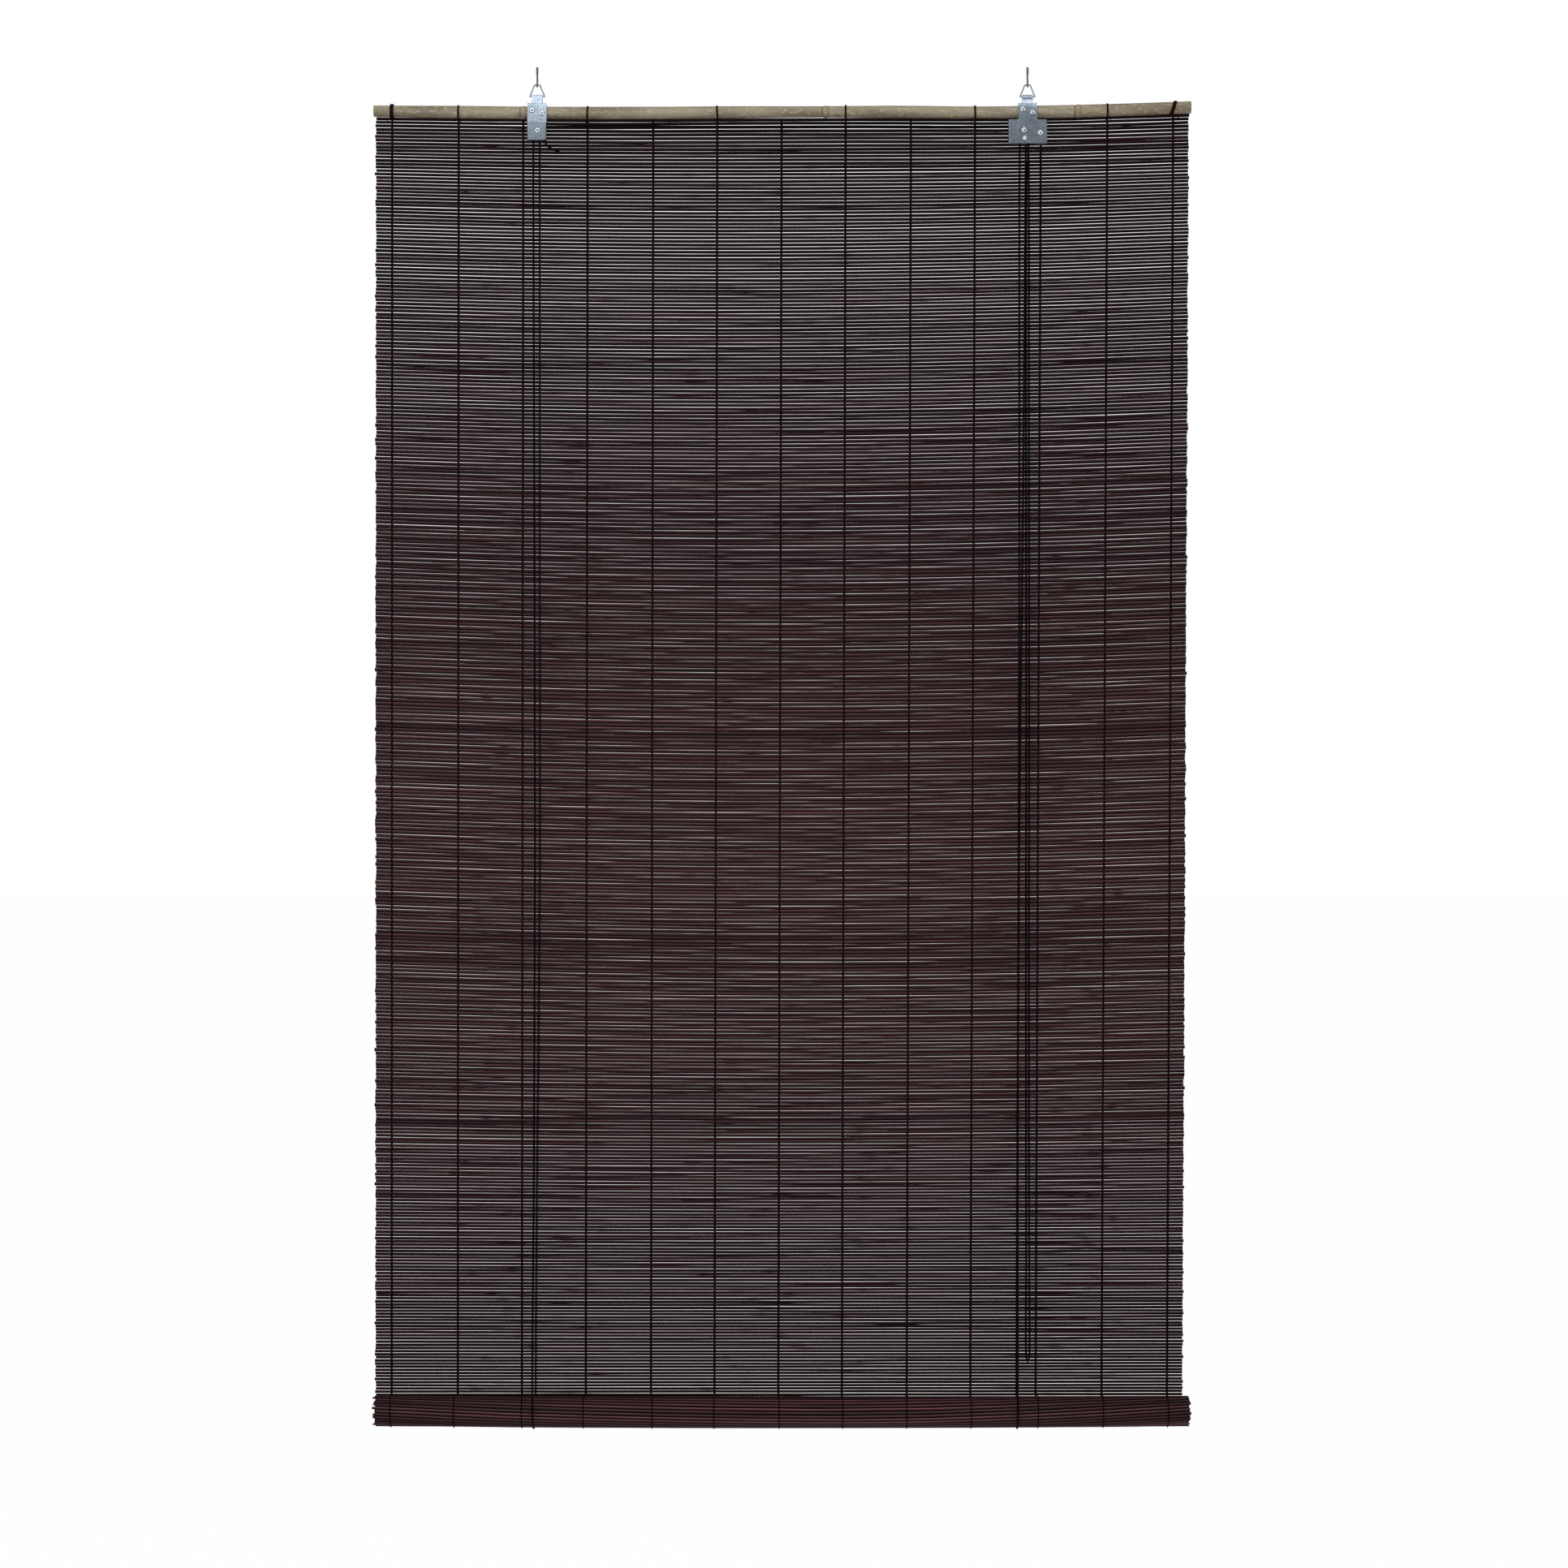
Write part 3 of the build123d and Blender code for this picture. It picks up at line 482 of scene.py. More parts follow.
def material(name):
    """One of the blind's finishes, made when it is first asked for."""
    makers = {
        "stained_slats": stained_slats,
        "twisted_thread": twisted_thread,
        # The lashings are the same thread, painted lighter.
        "lit_lashing_thread": lambda: twisted_thread("lit_lashing_thread", 3.2),
        "braided_cord": braided_cord,
        "raw_bamboo": raw_bamboo,
        "zinc_plate": lambda: zinc_plate("zinc_plate", *LEFT_PAINTED_LIGHT),
        "lock_plate": lambda: zinc_plate("lock_plate", *LOCK_PAINTED_LIGHT),
        "ring_wire": lambda: bright_wire("ring_wire", (0.20, 0.25, 0.30), 0.25),
        "hook_wire": lambda: bright_wire("hook_wire", (0.15, 0.13, 0.125), 0.3),
        "bright_rivet": lambda: bright_wire("bright_rivet", (0.50, 0.53, 0.57), 0.2),
        # A dark metal disc in each rivet's hollow: painted shade.
        "rivet_hollow": lambda: bright_wire("rivet_hollow", (0.16, 0.17, 0.18), 0.5),
        "pulley_white": white_plastic,
    }
    if name not in MATERIALS:
        MATERIALS[name] = makers[name]()
    return MATERIALS[name]


# Objects and meshes


def shown(name, data):
    """An object of the data, linked to the scene."""
    thing = bpy.data.objects.new(name, data)
    bpy.context.scene.collection.objects.link(thing)
    return thing


def paint_mesh(mesh, finish):
    mesh.materials.clear()
    mesh.materials.append(material(finish))


def new_piece(name, mesh, finish, slot, body, *nodes):
    """A finished piece at the origin, with its material and body, in place of the named nodes; the slot is not used.
    """
    piece = shown(name, mesh)
    paint_mesh(mesh, finish)
    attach(piece, body)
    if nodes:
        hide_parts(*nodes)
    return piece


def fold_up(piece):
    """Gives the piece its own copy of its mesh."""
    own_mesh(piece)


def set_values(mesh, **values):
    """Named values on the points of a mesh."""
    for key, numbers in values.items():
        mesh.attributes.new(key, "FLOAT", "POINT").data.foreach_set("value", [float(number) for number in numbers])


def outward(mesh):
    """Turns every face outwards."""
    work = bmesh.new()
    work.from_mesh(mesh)
    bmesh.ops.recalc_face_normals(work, faces=work.faces)
    work.to_mesh(mesh)
    work.free()


def skin(rings, sides, base=0):
    """Faces of a closed tube of rings of points: its walls, then its two ends."""
    faces = []
    for i in range(rings - 1):
        for j in range(sides):
            a, b = base + i * sides + j, base + i * sides + (j + 1) % sides
            faces.append((a, a + sides, b + sides, b))
    faces.append(tuple(base + j for j in range(sides)))
    faces.append(tuple(base + (rings - 1) * sides + j for j in reversed(range(sides))))
    return faces


def turned(radius, sides):
    """Pairs of places round a circle."""
    angles = [2 * math.pi * j / sides for j in range(sides)]
    return [(radius * math.cos(a), radius * math.sin(a)) for a in angles]


def joined(name, meshes):
    work = bmesh.new()
    for mesh in meshes:
        work.from_mesh(mesh)
    whole = bpy.data.meshes.new(name)
    work.to_mesh(whole)
    work.free()
    whole.shade_smooth()
    return whole


def tube_mesh(name, lines, radius, sides=8, twist=CORD_TWIST):
    """Round tubes along lines of points, with a UV map: u round the tube and v along it in turns of its twist."""
    verts, faces, uvs = [], [], []
    for line in lines:
        line = np.asarray(line, float)
        count = len(line)
        tangents = np.gradient(line, axis=0)
        tangents /= np.linalg.norm(tangents, axis=1)[:, None]
        side = np.cross(tangents[0], (0.0, 1.0, 0.0) if abs(tangents[0][1]) < 0.8 else (1.0, 0.0, 0.0))
        run = np.concatenate(([0.0], np.cumsum(np.linalg.norm(np.diff(line, axis=0), axis=1)))) / twist
        faces += skin(count, sides, len(verts))
        for i in range(count):
            side = side - tangents[i] * np.dot(side, tangents[i])
            side /= np.linalg.norm(side)
            up = np.cross(tangents[i], side)
            verts += [tuple(line[i] + out * side + rise * up) for out, rise in turned(radius, sides)]
        for i in range(count - 1):
            for j in range(sides):
                u0, u1 = j / sides * 2 * math.pi, (j + 1) / sides * 2 * math.pi
                uvs += [(u0, run[i]), (u0, run[i + 1]), (u1, run[i + 1]), (u1, run[i])]
        uvs += [(0.0, 0.0)] * (2 * sides)
    mesh = bpy.data.meshes.new(name)
    mesh.from_pydata(verts, [], faces)
    mesh.uv_layers.new(name="UVMap").data.foreach_set("uv", np.array(uvs, dtype=np.float32).ravel())
    mesh.shade_smooth()
    outward(mesh)
    return mesh


def spline_points(route, resolution=10, closed=False):
    """Points along the smooth NURBS line of a route."""
    line = bpy.data.curves.new("route", "CURVE")
    line.dimensions = "3D"
    line.resolution_u = resolution
    spline = line.splines.new("NURBS")
    spline.points.add(len(route) - 1)
    for point, place in zip(spline.points, route):
        point.co = (*place, 1.0)
    spline.order_u = 3
    spline.use_cyclic_u = closed
    spline.use_endpoint_u = not closed
    carrier = shown("route", line)
    graph = bpy.context.evaluated_depsgraph_get()
    mesh = bpy.data.meshes.new_from_object(carrier.evaluated_get(graph))
    points = [tuple(v.co) for v in mesh.vertices]
    bpy.data.objects.remove(carrier)
    bpy.data.curves.remove(line)
    bpy.data.meshes.remove(mesh)
    return points


def lathe_mesh(name, profile, sides):
    """A turned shape about the Y axis from (radius, y) pairs, closed on the axis."""
    work = bmesh.new()
    rings = []
    for radius, y in profile:
        places = [(0.0, 0.0)] if radius < 1e-7 else turned(radius, sides)
        rings.append([work.verts.new((x, y, z)) for x, z in places])
    for first, second in zip(rings, rings[1:]):
        for j in range(sides):
            k = (j + 1) % sides
            if len(first) == 1:
                work.faces.new((first[0], second[j], second[k]))
            elif len(second) == 1:
                work.faces.new((first[j], second[0], first[k]))
            else:
                work.faces.new((first[j], second[j], second[k], first[k]))
    bmesh.ops.recalc_face_normals(work, faces=work.faces)
    mesh = bpy.data.meshes.new(name)
    work.to_mesh(mesh)
    work.free()
    mesh.shade_smooth()
    return mesh


# The pole's line, the mat's hang and the slats' places


def pole_height(x):
    """Height of the pole's middle at a place across the blind: a quadratic spline through its line."""
    joints = [POLE_LINE[0]]
    for a, b in zip(POLE_LINE[1:-2], POLE_LINE[2:-1]):
        joints.append(((a[0] + b[0]) / 2, (a[1] + b[1]) / 2))
    joints.append(POLE_LINE[-1])
    x = np.asarray(x, float)
    z = np.zeros_like(x)
    for number, (start, corner, end) in enumerate(zip(joints, POLE_LINE[1:-1], joints[1:])):
        inside = (x >= start[0]) if number else np.full(x.shape, True)
        t = np.clip((x - start[0]) / (end[0] - start[0]), -0.05, 1.05)
        for _ in range(5):
            now = (1 - t) ** 2 * start[0] + 2 * t * (1 - t) * corner[0] + t**2 * end[0]
            slope = 2 * (1 - t) * (corner[0] - start[0]) + 2 * t * (end[0] - corner[0])
            t = t + (x - now) / slope
        here = (1 - t) ** 2 * start[1] + 2 * t * (1 - t) * corner[1] + t**2 * end[1]
        z = np.where(inside, here, z)
    return z


def table_at(table, place):
    """Values read from a table of (place, value) pairs."""
    return np.interp(place, [row[0] for row in table], [row[1] for row in table])


def hang(points):
    """Takes points of the flat mat (across, out of it towards the back, down as -z) to where it hangs."""
    points = np.asarray(points, float)
    x, out, down = points[:, 0], points[:, 1], -points[:, 2]
    share = down / (MAT_END - MAT_TOP).length
    drift = -(0.0042 + 0.0024 * x / 0.5) * share
    follow = (pole_height(x) - POLE_RADIUS - MAT_TOP.z) * np.exp(-down / 0.045)
    sag = table_at(SAG_DOWN, down) * (1.0 - 4.0 * x**2)
    tilt = table_at(TILT_DOWN, down) * x
    y = MAT_TOP.y + (MAT_END.y - MAT_TOP.y) * share + out
    z = MAT_TOP.z + (MAT_END.z - MAT_TOP.z) * share + follow - sag + tilt
    return np.stack((x + drift, y, z), axis=1)


def slat_rows():
    """The slats of the hanging mat: (distance down to its middle, width)."""
    whole = (MAT_END - MAT_TOP).length
    rows, down = [], -0.0004
    chance = random.Random(41)
    while down < whole - 0.003:
        seen = table_at(PITCH_DOWN, down) * chance.uniform(0.96, 1.04)
        spread = (table_at(SAG_DOWN, down + 0.005) - table_at(SAG_DOWN, down)) / 0.005 * 0.9 * seen
        height = MAT_TOP.z - down
        hidden = sizes().slat_thickness * abs(height - CAMERA_Z) / sizes().camera_distance
        gap = max(table_at(LIGHT_DOWN, down) * chance.uniform(0.5, 1.5) + hidden, 0.00004)
        width = seen - gap - 0.35 * max(spread, 0.0)
        rows.append((down + width / 2, width))
        down += seen - spread
    return rows


def roll_rows():
    """The slats of the wound mat: (angle, distance from the axis to the outer face)."""
    rows, angle = [], 0.08
    while True:
        r = ROLL_RADIUS - TURN_PITCH * angle / (2 * math.pi)
        if r < ROLL_CORE:
            return rows
        rows.append((angle, r))
        angle += WOUND_PITCH / r


def belly(points):
    """The wound mat is twisted towards its ends, and swells and sinks in the middle of the blind."""
    points = np.array(points, float)
    twist = -3.2 * points[:, 0] ** 2 + 0.05 * np.sin(points[:, 0] * 9.0)
    out, up = points[:, 1].copy(), points[:, 2] - ROLL_Z
    points[:, 1] = out * np.cos(twist) - up * np.sin(twist)
    points[:, 2] = ROLL_Z + out * np.sin(twist) + up * np.cos(twist)
    middle = 1.0 - (points[:, 0] / 0.5) ** 2
    points[:, 1] *= 0.965 + 0.055 * middle
    points[:, 2] = ROLL_Z - 0.0014 * middle + (points[:, 2] - ROLL_Z) * (0.965 + 0.065 * middle)
    return points


# Geometry Nodes


def new_tree(name, sockets):
    """A Geometry Nodes tree with its named inputs: its nodes, and what it is given."""
    tree = bpy.data.node_groups.new(name, "GeometryNodeTree")
    tree.interface.new_socket(name="Geometry", in_out="INPUT", socket_type="NodeSocketGeometry")
    for socket, kind in sockets:
        tree.interface.new_socket(name=socket, in_out="INPUT", socket_type="NodeSocket" + kind)
    tree.interface.new_socket(name="Geometry", in_out="OUTPUT", socket_type="NodeSocketGeometry")
    net = Nodes(tree)
    return tree, net, net.add("NodeGroupInput").outputs


def made_by(tree, name, points, settings):
    """The plain mesh that a tree makes of some points, with its named inputs set."""
    carrier = shown(name + "_points", points)
    modifier = carrier.modifiers.new(name, "NODES")
    modifier.node_group = tree
    for item in tree.interface.items_tree:
        if item.in_out == "INPUT" and item.name in settings:
            modifier[item.identifier] = settings[item.name]
    graph = bpy.context.evaluated_depsgraph_get()
    graph.update()
    source = carrier.evaluated_get(graph)
    mesh = bpy.data.meshes.new_from_object(source, preserve_all_data_layers=True, depsgraph=graph)
    mesh.name = name
    bpy.data.objects.remove(carrier)
    return mesh


def slat_bar():
    """The bar that every slat starts from: unit long, wide and thick, a flat back and a rounded front."""
    places = sorted(set([i / 9 - 0.5 for i in range(10)] + [c + d for c in SLAT_KNOTS for d in (-0.014, 0.0, 0.014)]))
    profile = ((0.5, -0.46), (0.5, 0.46), (-0.1, 0.5), (-0.5, 0.26), (-0.5, -0.26), (-0.1, -0.5))
    mesh = bpy.data.meshes.new("slat_bar")
    mesh.from_pydata([(x, y, z) for x in places for y, z in profile], [], skin(len(places), len(profile)))
    outward(mesh)
    knots = [1.0 if min(abs(x - c) for c in SLAT_KNOTS) < 1e-6 else 0.0 for x in places]
    across = [z + 0.5 for _, z in profile]
    set_values(mesh, knot=np.repeat(knots, len(profile)), across=np.tile(across, len(places)))
    return shown("slat_bar", mesh)


def slat_tree():
    """Geometry Nodes that set a bar on every point, bend it, move its nodes about and swell it there."""
    tree, net, given = new_tree(
        "split_bamboo_slats",
        (
            ("Bar", "Object"),
            ("Thickness", "Float"),
            ("Bow", "Float"),
            ("Knuckle", "Float"),
            ("Seed", "Int"),
            ("Material", "Material"),
        ),
    )

    def times(first, second):
        return net.maths("MULTIPLY", first, second)

    number = net.named("slat_number")

    def random_value(low, high, seed_shift):
        seed = net.maths("ADD", given["Seed"], seed_shift)
        inputs = {2: low, 3: high, "ID": number, "Seed": seed}
        return net.add("FunctionNodeRandomValue", inputs, data_type="FLOAT").outputs[1]

    turn = net.add("FunctionNodeEulerToRotation", {0: net.xyz(net.named("turn"))}).outputs[0]
    scale = net.xyz(net.named("slat_length"), given["Thickness"], net.named("slat_width"))
    real = net.copies(given["Geometry"], given["Bar"], scale, Rotation=turn)

    place = net.add("ShaderNodeSeparateXYZ", {0: net.add("GeometryNodeInputPosition").outputs[0]}).outputs
    hanging = net.named("hanging")
    room = net.maths("SUBTRACT", 0.25, times(place["X"], place["X"]))
    slide = times(room, random_value(-0.62, 0.62, 1))
    inputs = {"Scale": 1.0, "Detail": 2.0, "Vector": net.xyz(times(place["X"], 6.0), times(number, 0.45))}
    waves = net.add("ShaderNodeTexNoise", inputs, noise_dimensions="2D").outputs[0]
    bend = times(net.maths("SUBTRACT", waves, 0.5), times(given["Bow"], 4.0))
    off = net.maths("SUBTRACT", place["Z"], net.named("slat_down"))
    swell = times(net.named("knot"), times(given["Knuckle"], random_value(0.1, 1.0, 2)))
    spread = times(swell, times(net.maths("SIGN", off), hanging))
    offset = net.xyz(slide, times(bend, 0.3), net.maths("ADD", times(bend, hanging), spread))
    moved = net.add("GeometryNodeSetPosition", {"Geometry": real, "Offset": offset}).outputs["Geometry"]
    net.paint(moved, given["Material"])
    return tree


def set_slats(name, rows, shape):
    """One mesh of slats from rows of (x, y, z, turn, length, width, stain and painted light, hanging, left strand
    shade, right strand shade).
    """
    points = bpy.data.meshes.new(name + "_points")
    points.from_pydata([row[:3] for row in rows], [], [])
    names = ("turn", "slat_length", "slat_width", "stain_and_painted_light", "hanging", "left_strand_shade", "right_strand_shade")
    set_values(points, **{key: [row[3 + index] for row in rows] for index, key in enumerate(names)})
    set_values(points, slat_number=range(len(rows)), slat_down=[row[2] for row in rows])
    bar = slat_bar()
    settings = {
        "Bar": bar,
        "Thickness": sizes().slat_thickness,
        "Bow": sizes().slat_bow,
        "Knuckle": sizes().knuckle,
        "Seed": 7,
        "Material": material("stained_slats"),
    }
    mesh = made_by(slat_tree(), name, points, settings)
    bpy.data.objects.remove(bar)
    flat = np.empty(len(mesh.vertices) * 3)
    mesh.vertices.foreach_get("co", flat)
    mesh.vertices.foreach_set("co", shape(flat.reshape(-1, 3)).ravel())
    return mesh


# Operators


class BLIND_OT_stage(bpy.types.Operator):
    """Make the floor, the lamps, the world and the camera."""

    bl_idname = "blind.stage"
    bl_label = "Stage and Camera"

    def execute(self, context):
        scene = context.scene
        camera = bpy.data.cameras.new("camera")
        camera.lens = sizes().lens
        camera.sensor_width = 36.0
        holder = shown("camera", camera)
        holder.location = (0.002, -sizes().camera_distance, CAMERA_Z)
        holder.rotation_euler = (math.radians(90.0), 0.0, 0.0)
        scene.camera = holder

        floor_mesh = bpy.data.meshes.new("floor")
        corners = [(x * FLOOR_HALF, y * FLOOR_HALF, FLOOR_Z) for x, y in ((-1, -1), (1, -1), (1, 1), (-1, 1))]
        floor_mesh.from_pydata(corners, [], [(0, 1, 2, 3)])
        floor = shown("floor", floor_mesh)
        floor_mesh.materials.append(self.floor_paint())

        for name, place, aim, size_x, size_y, power in (
            ("front_softbox", (-0.5, -3.4, -0.55), (0.0, 0.0, -0.85), 1.3, 1.0, 52.0),
            ("left_softbox", (-2.6, -1.9, 0.6), (0.0, 0.0, -0.6), 1.6, 2.0, 42.0),
            ("right_softbox", (2.6, -2.0, 0.1), (0.0, 0.0, -0.8), 1.6, 2.0, 26.0),
            ("top_softbox", (0.0, -0.9, 1.6), (0.0, 0.0, -0.4), 2.2, 1.2, 26.0),
            ("back_softbox", (0.6, 2.6, 0.4), (0.0, 0.0, -0.8), 2.2, 2.2, 30.0),
        ):
            lamp = bpy.data.lights.new(name, "AREA")
            lamp.shape = "RECTANGLE"
            lamp.size, lamp.size_y = size_x, size_y
            lamp.energy = power
            light = shown(name, lamp)
            light.location = place
            light.visible_camera = False
            light.rotation_euler = (Vector(aim) - Vector(place)).to_track_quat("-Z", "Y").to_euler()

        world = bpy.data.worlds.new("studio")
        scene.world = world
        world.use_nodes = True
        net = Nodes(world.node_tree)
        soft = net.nodes["Background"]
        net.give(soft.inputs["Color"], WHITE)
        net.give(soft.inputs["Strength"], 0.42)
        white = net.add("ShaderNodeBackground", {"Color": WHITE, "Strength": 1.0})
        ray = net.add("ShaderNodeLightPath").outputs
        seen = net.maths("MAXIMUM", ray["Is Camera Ray"], ray["Is Transmission Ray"])
        seen = net.maths("MAXIMUM", seen, net.maths("MULTIPLY", ray["Is Glossy Ray"], 0.75))
        net.blend(seen, soft, white, net.nodes["World Output"].inputs["Surface"])
        scene.view_settings.view_transform = "Standard"
        return {"FINISHED"}

    def floor_paint(self):
        """A pale floor that the camera and the metal see as white."""
        paint = bpy.data.materials.new("pale_floor")
        paint.use_nodes = True
        net = Nodes(paint.node_tree)
        shader = net.nodes["Principled BSDF"]
        for key, value in (("Base Color", (0.86, 0.86, 0.86, 1.0)), ("Roughness", 0.9), ("Specular IOR Level", 0.1)):
            net.give(shader.inputs[key], value)
        glow = net.add("ShaderNodeEmission", {"Strength": 1.0})
        ray = net.add("ShaderNodeLightPath").outputs
        seen = net.maths("MULTIPLY", net.maths("MAXIMUM", ray["Is Camera Ray"], ray["Is Glossy Ray"]), 0.985)
        net.blend(seen, shader, glow, net.nodes["Material Output"].inputs["Surface"])
        return paint


def cord_piece(name, lines, sides, body, node, thin=1.0):
    """A braided cord along lines of points, in place of its node."""
    mesh = tube_mesh(name, lines, sizes().cord_radius * thin, sides)
    return new_piece(name, mesh, "braided_cord", "black_cord", body, node)


class BLIND_OT_free_cords(bpy.types.Operator):
    """Make the looped pull cord and the short tail at the left pulley."""

    bl_idname = "blind.free_cords"
    bl_label = "Pull Cord and Cord Tail"

    def execute(self, context):
        path = spline_points(PULL_CORD_ROUTE, 12)
        pull = cord_piece("pull_cord_braid", [path], 10, "head", "pull_cord")
        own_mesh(pull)

        path = spline_points(LEFT_TAIL_ROUTE, 16)
        tail = cord_piece("cord_tail_braid", [path], 12, "head", "left_cord_tail")
        return {"FINISHED"}


class BLIND_OT_lift_cords(bpy.types.Operator):
    """Make the taut lift cords: strands, loops under the roll, runs over the pulleys and tie knots."""

    bl_idname = "blind.lift_cords"
    bl_label = "Lift Cords"

    def execute(self, context):
        for side, x, y, top in (
            ("left", LEFT_STRAND_X, BACK_PULLEY_Y, LEFT_PLATE_BOTTOM),
            ("right", RIGHT_STRAND_X, FRONT_PULLEY_Y, LOCK_PLATE_BOTTOM),
        ):
            low = ROLL_Z + 0.0002
            self.strand(side, "front", x, (y, top - 0.0002), (-LOOP_RADIUS, low))
            self.strand(side, "back", x, (TIE_Y, TIE_Z - 0.0026), (LOOP_RADIUS, low))
            self.loop(side)
            self.knot(side)

        over = PULLEY_Z + PULLEY_WRAP
        entry = PULLEY_Z - 0.003
        left = (
            (LEFT_STRAND_X, LEFT_PLATE_BOTTOM),
            (LEFT_STRAND_X, entry),
            (LEFT_STRAND_X, over),
            (LEFT_PULLEY_X + 0.003, over),
            (0.0, over),
            (LOCK_PULLEY_X - 0.003, over),
            (LOCK_STRAND_X, over),
            (LOCK_STRAND_X, entry),
            (LOCK_STRAND_X, LOCK_PLATE_BOTTOM),
        )
        right = (
            (RIGHT_STRAND_X, LOCK_PLATE_BOTTOM),
            (RIGHT_STRAND_X, entry),
            (RIGHT_STRAND_X, over),
            (LOCK_STRAND_X, over),
            (LOCK_STRAND_X, entry),
            (LOCK_STRAND_X, LOCK_PLATE_BOTTOM),
        )
        for name, route, y, node in (
            ("left_cord_over_pulleys", left, BACK_PULLEY_Y, "left_cord_top"),
            ("right_cord_over_pulley", right, FRONT_PULLEY_Y, "right_cord_top"),
        ):
            cord_piece(name, [spline_points([(x, y, z) for x, z in route], 16)], 10, "head", node)
        return {"FINISHED"}

    def strand(self, side, face, x, start, end):
        """One strand along its table, between two (y, z) places."""
        steps = []
        for i in range(61):
            share = i / 60
            y = start[0] + (end[0] - start[0]) * share
            z = start[1] + (end[1] - start[1]) * share
            steps.append((table_at(STRANDS[side, face], share), y, z))
        strand = cord_piece(f"{side}_{face}_lift_cord", [steps], 10, "head", f"{side}_{face}_strand")
        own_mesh(strand)

    def loop(self, side):
        """The cord's half turn under the roll."""
        angles = [math.pi + math.pi * i / 28 for i in range(29)]
        ends = (STRANDS[side, "front"][-1][1], STRANDS[side, "back"][-1][1])
        places = np.interp(angles, (math.pi, 2 * math.pi), ends)
        under = [(x, LOOP_RADIUS * math.cos(a), ROLL_Z + LOOP_RADIUS * math.sin(a)) for x, a in zip(places, angles)]
        cord_piece(f"{side}_cord_under_roll", [under], 10, "lift_loops", f"{side}_lift_loop")

    def knot(self, side):
        """The knot that holds the back strand, and its end."""
        x = STRANDS[side, "back"][0][1]
        turns = []
        for i in range(49):
            a = 2 * math.pi * i / 48
            wide = 0.0015 + 0.0007 * math.cos(3 * a)
            z = TIE_Z + 0.0012 * math.sin(3 * a)
            turns.append((x + wide * math.cos(2 * a), TIE_Y + wide * math.sin(2 * a), z))
        tail = [(x, TIE_Y, TIE_Z - 0.0032), (x, TIE_Y, TIE_Z - 0.0012), (x, TIE_Y + 0.0003, TIE_Z + 0.0016)]
        lines = [turns, spline_points(tail, 6)]
        cord_piece(f"{side}_tie_knot_braid", lines, 8, "head", f"{side}_tie_knot", thin=0.85)


class BLIND_OT_hanging_mat(bpy.types.Operator):
    """Make the slats of the hanging mat."""

    bl_idname = "blind.hanging_mat"
    bl_label = "Hanging Slats"

    def execute(self, context):
        chance = random.Random(19)
        rows = []
        for down, width in slat_rows():
            # The share: a painted sheen read from the table, strongest in the middle of the mat, with a random stain
            # on top; a few slats are stained darker.
            stain_and_painted_light = table_at(SHEEN_DOWN, down) + chance.uniform(-0.12, 0.22)
            if chance.random() < 0.05:
                stain_and_painted_light, width = stain_and_painted_light - 0.3, width * 1.04
            turn = math.radians(chance.gauss(0.0, 2.5))
            length = 1.002 + chance.uniform(-0.0006, 0.0006)
            share = down / (MAT_TOP - MAT_END).length
            # Where the painted shadow of each back strand falls across this slat.
            marks = [table_at(STRANDS[side, "back"], share) * (1.0 - 0.0025 * share) for side in ("left", "right")]
            rows.append((chance.uniform(-0.0005, 0.0003), 0.0, -down, turn, length, width, stain_and_painted_light, 1.0, *marks))
        mesh = set_slats("hanging_slats", rows, hang)
        fold_up(new_piece("hanging_slats", mesh, "stained_slats", "dark_slats", "head", "slat_mat"))
        return {"FINISHED"}


class BLIND_OT_warp_threads(bpy.types.Operator):
    """Make the pairs of warp threads that cross between the slats."""

    bl_idname = "blind.warp_threads"
    bl_label = "Warp Threads"

    def execute(self, context):
        rows = slat_rows()
        radius = sizes().thread_radius
        reach = sizes().slat_thickness / 2 + radius * 0.9
        for number, x in enumerate(THREADS_TOP, start=1):
            lines = []
            for way in (-1.0, 1.0):
                flat = [(x, way * reach * 0.4, -0.0001)]
                for index, (down, width) in enumerate(rows):
                    face = way if index % 2 else -way
                    flat.append((x + 0.0001 * way, face * reach, -down))
                    if index + 1 < len(rows):
                        below = rows[index + 1]
                        between = (down + width / 2 + below[0] - below[1] / 2) / 2
                        flat.append((x + way * radius * 0.8, 0.0, -between))
                lines.append(hang(flat))
            name = f"warp_thread_pair_{number}"
            mesh = tube_mesh(name, lines, radius, 4, THREAD_TWIST)
            fold_up(new_piece(name, mesh, "twisted_thread", "warp_thread", "head", f"warp_thread_{number}"))
        return {"FINISHED"}


